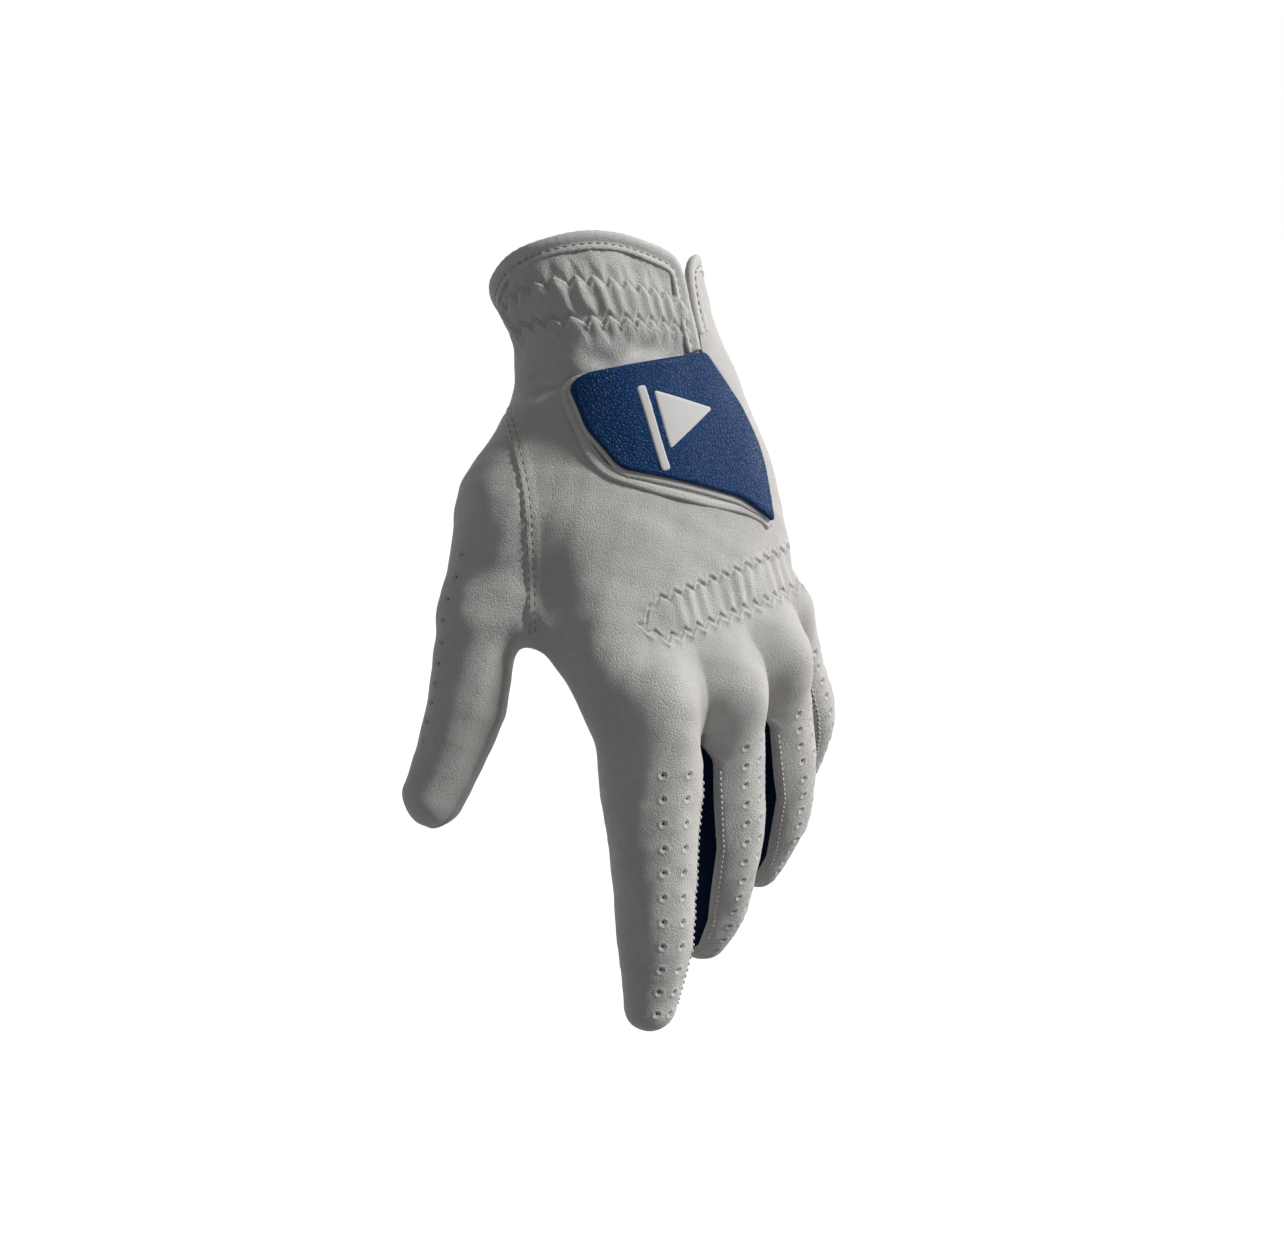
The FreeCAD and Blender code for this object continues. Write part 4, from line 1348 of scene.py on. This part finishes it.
def sew(name, paths, pitch, radius, material=THREAD, cover=0.72):
    """Rows of stitches as pieces, one for each zone that they cross."""
    verts, tris, middles, count = stitches(paths, pitch, radius, cover)
    zones = zone_of(middles)
    for number in np.unique(zones):
        mine = np.repeat(zones == number, count)
        keep = mine[tris[:, 0]]
        obj = make_object(f"{name}_{BODIES[number]}", *tidy(verts, tris[keep]))
        dress(obj, "thread", material)
        attach(obj, BODIES[number])


def raised(points, outs):
    """A path lifted from the smooth skin onto the leather's relief."""
    near = nearest_digit(points)[0]
    height, _ = leather_relief(points, near, finger_fields(points))
    return points + outs * height[:, None]


def rounded_outline(corners, step=0.5):
    """A closed outline from corners (x, z, radius), with straight sides joined by arcs."""
    corners = np.array(corners, float)
    out = []
    for before, here, after in zip(np.roll(corners, 1, 0), corners, np.roll(corners, -1, 0)):
        a, b = unit(before[:2] - here[:2]), unit(after[:2] - here[:2])
        half = math.acos(np.clip(a @ b, -1, 1)) / 2
        back = here[2] / math.tan(half)
        centre = here[:2] + unit(a + b) * here[2] / math.sin(half)
        p, q = here[:2] + a * back - centre, here[:2] + b * back - centre
        sweep_angle = math.atan2(p[0] * q[1] - p[1] * q[0], p @ q)
        for t in np.linspace(0, 1, max(int(abs(sweep_angle) * here[2] / step), 2)):
            w = sweep_angle * t
            c, s = math.cos(w), math.sin(w)
            out.append(centre + [p[0] * c - p[1] * s, p[0] * s + p[1] * c])
    return np.array(out)


def outline_depth(points, outline):
    """Distance of flat points inside a closed outline, negative outside it."""
    a, b = outline, np.roll(outline, -1, axis=0)
    edge = b - a
    best = np.full(len(points), 1e9)
    inside = np.zeros(len(points), bool)
    for p, q, e in zip(a, b, edge):
        out = points - p
        t = np.clip(out @ e / max(e @ e, 1e-12), 0, 1)
        best = np.minimum(best, np.linalg.norm(out - t[:, None] * e, axis=1))
        straddle = (p[1] > points[:, 1]) != (q[1] > points[:, 1])
        if abs(e[1]) > 1e-12:
            inside ^= straddle & (points[:, 0] < p[0] + (points[:, 1] - p[1]) * e[0] / e[1])
    return np.where(inside, best, -best)


def patch(outline, low, thick, edge, step, relief=None):
    """A closed sheet with the given outline over the back of the hand, from height low to
    low + thick, with edges rounded over the given distance."""
    corner, far = outline.min(0) - step, outline.max(0) + step
    nx, nz = (np.ceil((far - corner) / step)).astype(int) + 1
    x, z = np.meshgrid(corner[0] + np.arange(nx) * step, corner[1] + np.arange(nz) * step, indexing="ij")
    flat = np.stack([x.ravel(), z.ravel(), 0 * x.ravel()], 1)
    i, j = np.meshgrid(np.arange(nx - 1), np.arange(nz - 1), indexing="ij")
    a = (i * nz + j).ravel()
    tris = halved(np.stack([a, a + nz, a + nz + 1, a + 1], 1))
    flat, tris, _, on = cut(flat, tris, np.zeros((len(tris), 2), int), outline_depth(flat[:, :2], outline))
    flat, tris = tidy(flat, tris[on])
    depth = np.maximum(outline_depth(flat[:, :2], outline), 0)
    base = back_of_hand(flat[:, 0], flat[:, 1])
    out = field_slope(glove_distance, base)[0]
    round_over = np.sqrt(1 - (1 - np.clip(depth / edge, 0, 1)) ** 2)
    height = low + thick * (0.35 + 0.65 * round_over)
    if relief is not None:
        height = height + relief(base, depth) * np.clip(depth / edge, 0, 1)
    outer = base + out * height[:, None]
    inner = base + out * (low + thick * 0.1 * (1 - round_over))[:, None]
    a, b, c = (outer[tris[:, k]] for k in range(3))
    facing = np.einsum("ij,ij->i", np.cross(b - a, c - a), out[tris[:, 0]]).sum()
    return closed_shell(outer, inner, tris if facing >= 0 else tris[:, ::-1])


def add_piece(name, mesh, slot, material, body, *nodes):
    obj = make_object(name, *mesh)
    dress(obj, slot, material, *nodes)
    attach(obj, body)


# ---------------------------------------------------------------- cuff edge

# Outline of the rolled edge, across it and out from the leather.
BINDING_PROFILE = ((1.5, -0.3), (1.55, 0.35), (1.2, 0.95), (0.5, 1.2), (-0.3, 1.1), (-1.0, 0.75),
                   (-1.5, 0.42), (-1.9, 0.34), (-2.3, 0.62), (-3.2, 0.66), (-3.55, 0.45), (-3.6, 0.0),
                   (-3.3, -0.5), (-1.0, -1.1), (0.6, -1.3), (1.3, -1.0))
# How far down the slit the rolled edge reaches, on the thumb side and on the other.
BINDING_DOWN = (-34.0, -30.0)
CUFF_STEP = 0.8


def slit_side(z, side):
    """Points on the skin along one edge of the slit: side -1 is the thumb side."""
    x = np.interp(z, SLIT[:, 0], SLIT[:, 1]) + side * (np.interp(z, SLIT[:, 0], SLIT[:, 2]) + 0.9)
    return back_of_hand(x, z)


def rim_points(low, high, count):
    angle = np.linspace(low, high, count)
    height = np.interp((angle + 180) % 360 - 180, RIM_ANGLES, RIM_HEIGHTS)
    return round_wrist(angle, height - 0.9)


def cuff_path():
    """Up the thumb side of the slit, round the rim, and down the slit's other side."""
    down, up = np.linspace(BINDING_DOWN[0], -11.0, 24), np.linspace(-12.5, BINDING_DOWN[1], 22)
    first, last = slit_side(down, -1), slit_side(up, 1)
    low = wrist_angle(first[-1:])[0]
    high = wrist_angle(last[:1])[0]
    rim = rim_points(low - 5, high - 360 + 7, 220)
    path = smooth_path(np.concatenate([first, rim, last]), CUFF_STEP, 18)
    return on_skin(path)


def offset_path(points, outs, across, out=0.0):
    way = tangents(points)
    side = np.cross(way, outs)
    moved, normals = on_skin(points + side * across)
    return moved + normals * out, normals


def add_cuff():
    points, outs = cuff_path()
    place = np.arange(len(points)) * CUFF_STEP
    swell = 1 + 0.035 * np.cos(2 * math.pi * place / 2.6) + 0.04 * ripple(points, 15.0, 41)
    roll = sweep(points, outs, BINDING_PROFILE, swell)
    add_piece("cuff_binding_roll", roll, "binding", BINDING, "hand", "cuff_binding", "slit_binding",
              "closure_flap")
    # The cuff stitches use the darker thread copy with painted shade.
    sew("cuff_stitch", [offset_path(points, outs, -1.9, 0.45)], 2.3, 0.28, SHADED_THREAD)


# ---------------------------------------------------------------- closure tab and its landing

# Corners of each outline over the back of the hand: x, z and how far the corner is rounded.
TAB_CORNERS = ((-27.0, -30.0, 4.5), (12.6, -34.9, 3.0), (21.5, -52.0, 26.0), (25.6, -67.0, 30.0),
               (23.0, -87.0, 0.8), (12.0, -76.8, 24.0), (-23.0, -57.8, 8.0), (-27.6, -45.0, 14.0))
LINING_CORNERS = ((-27.6, -30.6, 4.5), (11.5, -36.0, 3.0), (20.0, -52.0, 26.0), (23.6, -67.0, 30.0),
                  (21.5, -86.0, 0.8), (11.0, -78.2, 24.0), (-23.6, -59.5, 8.0), (-28.5, -45.0, 14.0))
PAD_CORNERS = ((-22.0, -36.0, 4.0), (10.0, -41.0, 4.0), (14.0, -60.0, 6.0), (10.0, -68.0, 5.0),
               (-21.0, -50.0, 6.0))
BORDER_POINTS = ((-22.5, -32.0), (-26.4, -31.4), (-28.4, -34.0), (-28.9, -40.0), (-28.6, -50.0),
                 (-27.2, -55.6), (-24.4, -59.0), (-13.6, -66.4), (1.3, -74.6), (14.0, -80.4),
                 (20.6, -84.8), (22.6, -87.4))
BORDER_PROFILE = ((1.5, -0.2), (1.45, 0.55), (1.1, 0.85), (0.2, 0.95), (-0.6, 0.85), (-0.9, 0.62),
                  (-1.15, 0.8), (-1.5, 0.75), (-1.7, 0.4), (-1.7, -0.2))
FLAG_CORNERS = ((-9.4, -40.0, 0.7), (9.0, -50.2, 0.6), (-8.4, -57.0, 0.6))
POLE_CORNERS = ((-13.8, -37.8, 0.9), (-11.2, -38.2, 0.9), (-9.8, -62.4, 0.9), (-12.4, -62.0, 0.9))
# Heights over the leather, and thicknesses, of the closure's layers.
TAB_LOW, TAB_THICK = 1.55, 1.35
LINING_LOW, LINING_THICK = TAB_LOW - 0.65, 0.6
HOOK_LOW, HOOK_THICK = TAB_LOW - 1.2, 0.55
LOOP_LOW, LOOP_THICK = -0.1, 0.5
EMBLEM_LOW, EMBLEM_THICK = TAB_LOW + TAB_THICK + 0.05, 0.45
LOOP_SHARE = 0.98


def tab_relief(base, depth):
    """The tab's soft crown and its faint waves."""
    return 0.25 * ease(depth, 0, 9) + 0.12 * ripple(base, 16.0, 51)


def add_tab():
    cover = patch(rounded_outline(TAB_CORNERS), TAB_LOW, TAB_THICK, 1.1, 0.5, tab_relief)
    add_piece("tab_cover", cover, "tab_blue", NAVY, "closure_tab", "tab_leather")
    lining = patch(rounded_outline(LINING_CORNERS), LINING_LOW, LINING_THICK, 0.4, 0.8)
    add_piece("tab_back", lining, "lining", LINING, "closure_tab", "tab_lining")
    pad = rounded_outline(PAD_CORNERS)
    hooks = patch(pad, HOOK_LOW, HOOK_THICK, 0.4, 0.8)
    add_piece("tab_hook_tape", hooks, "hook", HOOK, "closure_tab", "hook_pad")
    loops = patch(pad * LOOP_SHARE, LOOP_LOW, LOOP_THICK, 0.6, 0.8)
    add_piece("loop_tape", loops, "loop", LOOP, "hand", "landing_pad")
    emblem = (("emblem_flag", FLAG_CORNERS, ("tab_emblem",)), ("emblem_pole", POLE_CORNERS, ()))
    for name, corners, nodes in emblem:
        mesh = patch(rounded_outline(corners, 0.2), EMBLEM_LOW, EMBLEM_THICK, 0.5, 0.35)
        add_piece(name, mesh, "emblem", PRINT, "closure_tab", *nodes)


def add_landing():
    flat = smooth_path(BORDER_POINTS, 0.7, 6)
    points = back_of_hand(flat[:, 0], flat[:, 1])
    outs = field_slope(glove_distance, points)[0]
    edge = sweep(points, outs, BORDER_PROFILE)
    add_piece("landing_edge", edge, "binding", BINDING, "hand", "landing_border")
    rows = [offset_path(points, outs, across, out) for across, out in ((-1.05, 0.75), (0.9, 0.85))]
    sew("landing_stitch", rows, 1.6, 0.15)


# ---------------------------------------------------------------- seams


# Where the stitches beside the gussets start, along each finger.
ROOT_START = {"index": 22.0, "middle": 21.0, "ring": 21.0, "little": 18.0}


def seam_paths():
    """Stitch lines beside the gussets: on the back and palm side of each finger."""
    paths = []
    for name in FINGERS:
        digit = DIGITS[name]
        along = np.arange(ROOT_START[name], digit.starts[-1] + 1.5, 0.6)
        width = gusset_width(along, digit.starts[-1])
        radius = np.interp(along, digit.starts, digit.radii)
        gap = np.degrees(1.0 / radius)
        edge = np.degrees(np.arccos(width))
        sides = {"index": (1,), "little": (-1,)}.get(name, (1, -1))
        for side in sides:
            for angle in (edge - gap, 180 - edge + gap):
                points = skin_at(digit, along, side * angle)
                paths.append(on_skin(points))
    return paths


# How far the two rows of the thumb seam's stitches lie inside its edge.
THUMB_STITCH_GAPS = (1.0, 2.6)


def wrist_teeth(row):
    angle = np.linspace(WRIST_ROW_ENDS[0] + 4, WRIST_ROW_ENDS[1] - 1, 520)
    z0, ax, ay = WRIST_ROWS[row]
    z = np.full(len(angle), z0)
    for _ in range(6):
        p = round_wrist(angle, z)
        tooth = TOOTH_HIGH * teeth(wrist_arc(p), WRIST_PITCH) * math.sqrt(1 + ax * ax + ay * ay)
        z = z0 + ax * p[:, 0] + ay * p[:, 1] + tooth
    return on_skin(round_wrist(angle, z))


def band_teeth(side):
    x = np.linspace(BAND_LEFT + 0.6, 30.0, 420)
    shift = 0 if side > 0 else BAND_PITCH / 2
    tooth = teeth(x + shift, BAND_PITCH) * BAND_TOOTH_HIGH
    z = BAND_LINE[0] + BAND_LINE[1] * x + side * (band_half(x) + tooth)
    return on_skin(back_of_hand(x, z))


def add_seams():
    sew("gusset_stitch", [(raised(p, n) + 0.12 * n, n) for p, n in seam_paths()], 1.9, 0.32, cover=0.62)
    rows = [wrist_teeth(0), wrist_teeth(1), band_teeth(1), band_teeth(-1)]
    sew("elastic_stitch", [(raised(p, n), n) for p, n in rows], 1.5, 0.22)
    flat = THUMB_SEAM[(THUMB_SEAM[:, 0] < -33) & (THUMB_SEAM[:, 0] > -96)][::-1]
    line = smooth_path(flat, 1.0, 3)[:, ::-1]
    paths = [thumb_line(line + [gap, 0.0]) for gap in THUMB_STITCH_GAPS]
    # The thumb stitches use the darker thread copy with painted shade.
    sew("thumb_stitch", [(raised(p, n), n) for p, n in paths], 2.4, 0.24, SHADED_THREAD)


def thumb_line(spots):
    """Points on the back of the hand at places along (0.8, -0.6, 0) and heights."""
    way = np.tile(unit([-0.6, -0.8, 0.0]), (len(spots), 1))
    start = np.stack([0.8 * spots[:, 0], -0.6 * spots[:, 0], spots[:, 1]], 1) - way * 20
    low = np.full(len(start), 80.0)
    for _ in range(60):
        low = low - np.clip(glove_distance(start + way * low[:, None]) * 0.8, -1, 8)
    return on_skin(start + way * low[:, None])


# ---------------------------------------------------------------- tapes inside


TAPE_DEPTH, TAPE_HALF, TAPE_RIBS = 1.9, 0.35, 9


def add_tapes():
    """Elastic tapes sewn inside the wrist and over the knuckles."""
    for row, side in enumerate(("upper", "lower")):
        angle = np.linspace(WRIST_ROW_ENDS[0] + 8, WRIST_ROW_ENDS[1] - 6, 90)
        z0, ax, ay = WRIST_ROWS[row]
        z = np.full(len(angle), z0)
        for _ in range(5):
            p = round_wrist(angle, z)
            z = z0 + ax * p[:, 0] + ay * p[:, 1]
        p, n = on_skin(round_wrist(angle, z))
        mesh = sweep(p - n * TAPE_DEPTH, n, tape_profile(2.6))
        add_piece(f"wrist_tape_{side}", mesh, "elastic", ELASTIC, "hand", f"wrist_elastic_{side}")
    x = np.linspace(-24.0, 28.0, 70)
    p, n = on_skin(back_of_hand(x, BAND_LINE[0] + BAND_LINE[1] * x))
    mesh = sweep(p - n * TAPE_DEPTH, n, tape_profile(4.6))
    add_piece("knuckle_tape", mesh, "elastic", ELASTIC, "hand", "knuckle_elastic")


def tape_profile(half):
    """A flat ribbed strip of the given half width."""
    across = np.linspace(half, -half, TAPE_RIBS)
    wave = 0.08 * np.cos(np.arange(TAPE_RIBS) * math.pi)
    outer = np.stack([across, TAPE_HALF + wave], 1)
    return np.concatenate([outer, np.stack([across[::-1], -TAPE_HALF + wave], 1)])


add_cuff()
add_tab()
add_landing()
add_seams()
add_tapes()

# ---------------------------------------------------------------- camera, floor and light

CAMERA_AZIMUTH, CAMERA_ELEVATION, CAMERA_ROLL = -37.0, 6.0, 18.0
CAMERA_DISTANCE = 700.0
CAMERA_AIM = np.array([0.0, 0.0, -40.0])
CAMERA_SHIFT = (2.2, -63.6)
FOCAL_MM = 70.06
DOME_SIDES, DOME_RADIUS, FLOOR_DROP = 64, 5000.0, 40.0
FLOOR_GLOW, DOME_GLOW = 0.84, 1.0
ROOM_DIM, WALL_BRIGHT, WALL_FADE = 0.19, 0.95, (0.25, 0.85)
LIGHT_DISTANCE = 1000.0


def seen_from(azimuth, elevation):
    """The direction towards a place round the glove, from the back of the hand."""
    a, e = math.radians(azimuth), math.radians(elevation)
    return np.array([math.sin(a) * math.cos(e), -math.cos(a) * math.cos(e), math.sin(e)])


def camera_axes():
    a, r = math.radians(CAMERA_AZIMUTH), math.radians(CAMERA_ROLL)
    back = seen_from(CAMERA_AZIMUTH, CAMERA_ELEVATION)
    right = np.array([math.cos(a), math.sin(a), 0.0])
    up = np.cross(back, right)
    return right * math.cos(r) - up * math.sin(r), right * math.sin(r) + up * math.cos(r), back


def place(obj, x, y, back, where):
    """Puts an object with the given axes at a place in millimetres."""
    turn = Matrix([list(c) for c in zip(x, y, back)]).to_4x4()
    obj.matrix_world = Matrix.Translation(Vector(where) * MM) @ turn


def add_camera():
    data = bpy.data.cameras.new("camera")
    data.lens = FOCAL_MM
    data.clip_start = 0.05
    camera = bpy.data.objects.new("camera", data)
    bpy.context.scene.collection.objects.link(camera)
    x, y, back = camera_axes()
    aim = CAMERA_AIM + x * CAMERA_SHIFT[0] + y * CAMERA_SHIFT[1]
    place(camera, x, y, back, aim + back * CAMERA_DISTANCE)
    bpy.context.scene.camera = camera


def hide_from_light(obj):
    """Lets only the camera see a stage piece, so that it neither lights nor darkens the glove."""
    obj.visible_diffuse = False
    obj.visible_glossy = False
    obj.visible_transmission = False
    obj.visible_shadow = False


def paper(name, scale, dark, light, rough, glow):
    """Plain grey paper that glows evenly."""
    n = Nodes(name)
    colour = n.mix(n.noise(scale), rgb(dark, dark, dark), rgb(light, light, light))
    return n.finish(colour, rough, Emission_Color=rgb(1.0, 1.0, 1.0), Emission_Strength=glow)


def add_floor():
    """A pale floor under the glove, with a pale dome far round it."""
    papers = {"floor": paper("floor_paper", 40.0, 0.48, 0.52, 0.9, FLOOR_GLOW),
              "dome": paper("dome_paper", 2.0, 0.0, 0.01, 1.0, DOME_GLOW)}
    bottom = CAD_BOX[0][2] / MM - FLOOR_DROP
    turn = np.linspace(0, 2 * math.pi, DOME_SIDES, endpoint=False)
    rings = [(0.001, 0.0)]
    for tilt in np.linspace(0, math.pi / 2, 12)[:-1]:
        rings.append((DOME_RADIUS * math.cos(tilt), DOME_RADIUS * math.sin(tilt)))
    rings.append((1.0, DOME_RADIUS))
    points = [np.stack([r * np.cos(turn), r * np.sin(turn), bottom + h + 0 * turn], 1) for r, h in rings]
    k, j = np.meshgrid(np.arange(len(rings) - 1), np.arange(DOME_SIDES), indexing="ij")
    nxt = (j + 1) % DOME_SIDES
    quads = np.stack([k * DOME_SIDES + j, (k + 1) * DOME_SIDES + j, (k + 1) * DOME_SIDES + nxt,
                      k * DOME_SIDES + nxt], -1).reshape(-1, 4)
    verts = np.concatenate(points)
    for name, part in (("floor", quads[:DOME_SIDES]), ("dome", quads[DOME_SIDES:])):
        obj = make_object(name, *tidy(verts, part))
        hide_from_light(obj)
        obj.data.materials.append(papers[name])


def add_world():
    """A bright wall far behind the glove and a dimmer room in front of it."""
    world = bpy.data.worlds.new("studio")
    world.use_nodes = True
    tree = world.node_tree
    way = tree.nodes.new("ShaderNodeTexCoord").outputs["Generated"]
    dot = tree.nodes.new("ShaderNodeVectorMath")
    dot.operation = "DOT_PRODUCT"
    dot.inputs[1].default_value = tuple(-camera_axes()[2])
    tree.links.new(way, dot.inputs[0])
    fade = tree.nodes.new("ShaderNodeMapRange")
    limits = (*WALL_FADE, ROOM_DIM, WALL_BRIGHT)
    for key, value in zip(("From Min", "From Max", "To Min", "To Max"), limits):
        fade.inputs[key].default_value = value
    tree.links.new(dot.outputs["Value"], fade.inputs["Value"])
    background = tree.nodes["Background"]
    background.inputs["Color"].default_value = rgb(1.0, 0.985, 0.965)
    tree.links.new(fade.outputs["Result"], background.inputs["Strength"])
    bpy.context.scene.world = world


def add_sun(name, azimuth, elevation, strength, spread, colour):
    """A broad soft light from far away."""
    data = bpy.data.lights.new(name, "SUN")
    data.energy = strength
    data.angle = math.radians(spread)
    data.color = colour
    light = bpy.data.objects.new(name, data)
    bpy.context.scene.collection.objects.link(light)
    back = seen_from(azimuth, elevation)
    x = unit(np.cross([0, 0, 1], back))
    place(light, x, np.cross(back, x), back, back * LIGHT_DISTANCE)


add_camera()
add_floor()
add_world()
add_sun("key_light", 37.0, 17.0, 2.7, 12.0, (1.0, 0.995, 0.985))
add_sun("side_light", 80.0, -8.0, 1.0, 20.0, (1.0, 0.9, 0.82))
bpy.context.scene.view_settings.view_transform = "Standard"
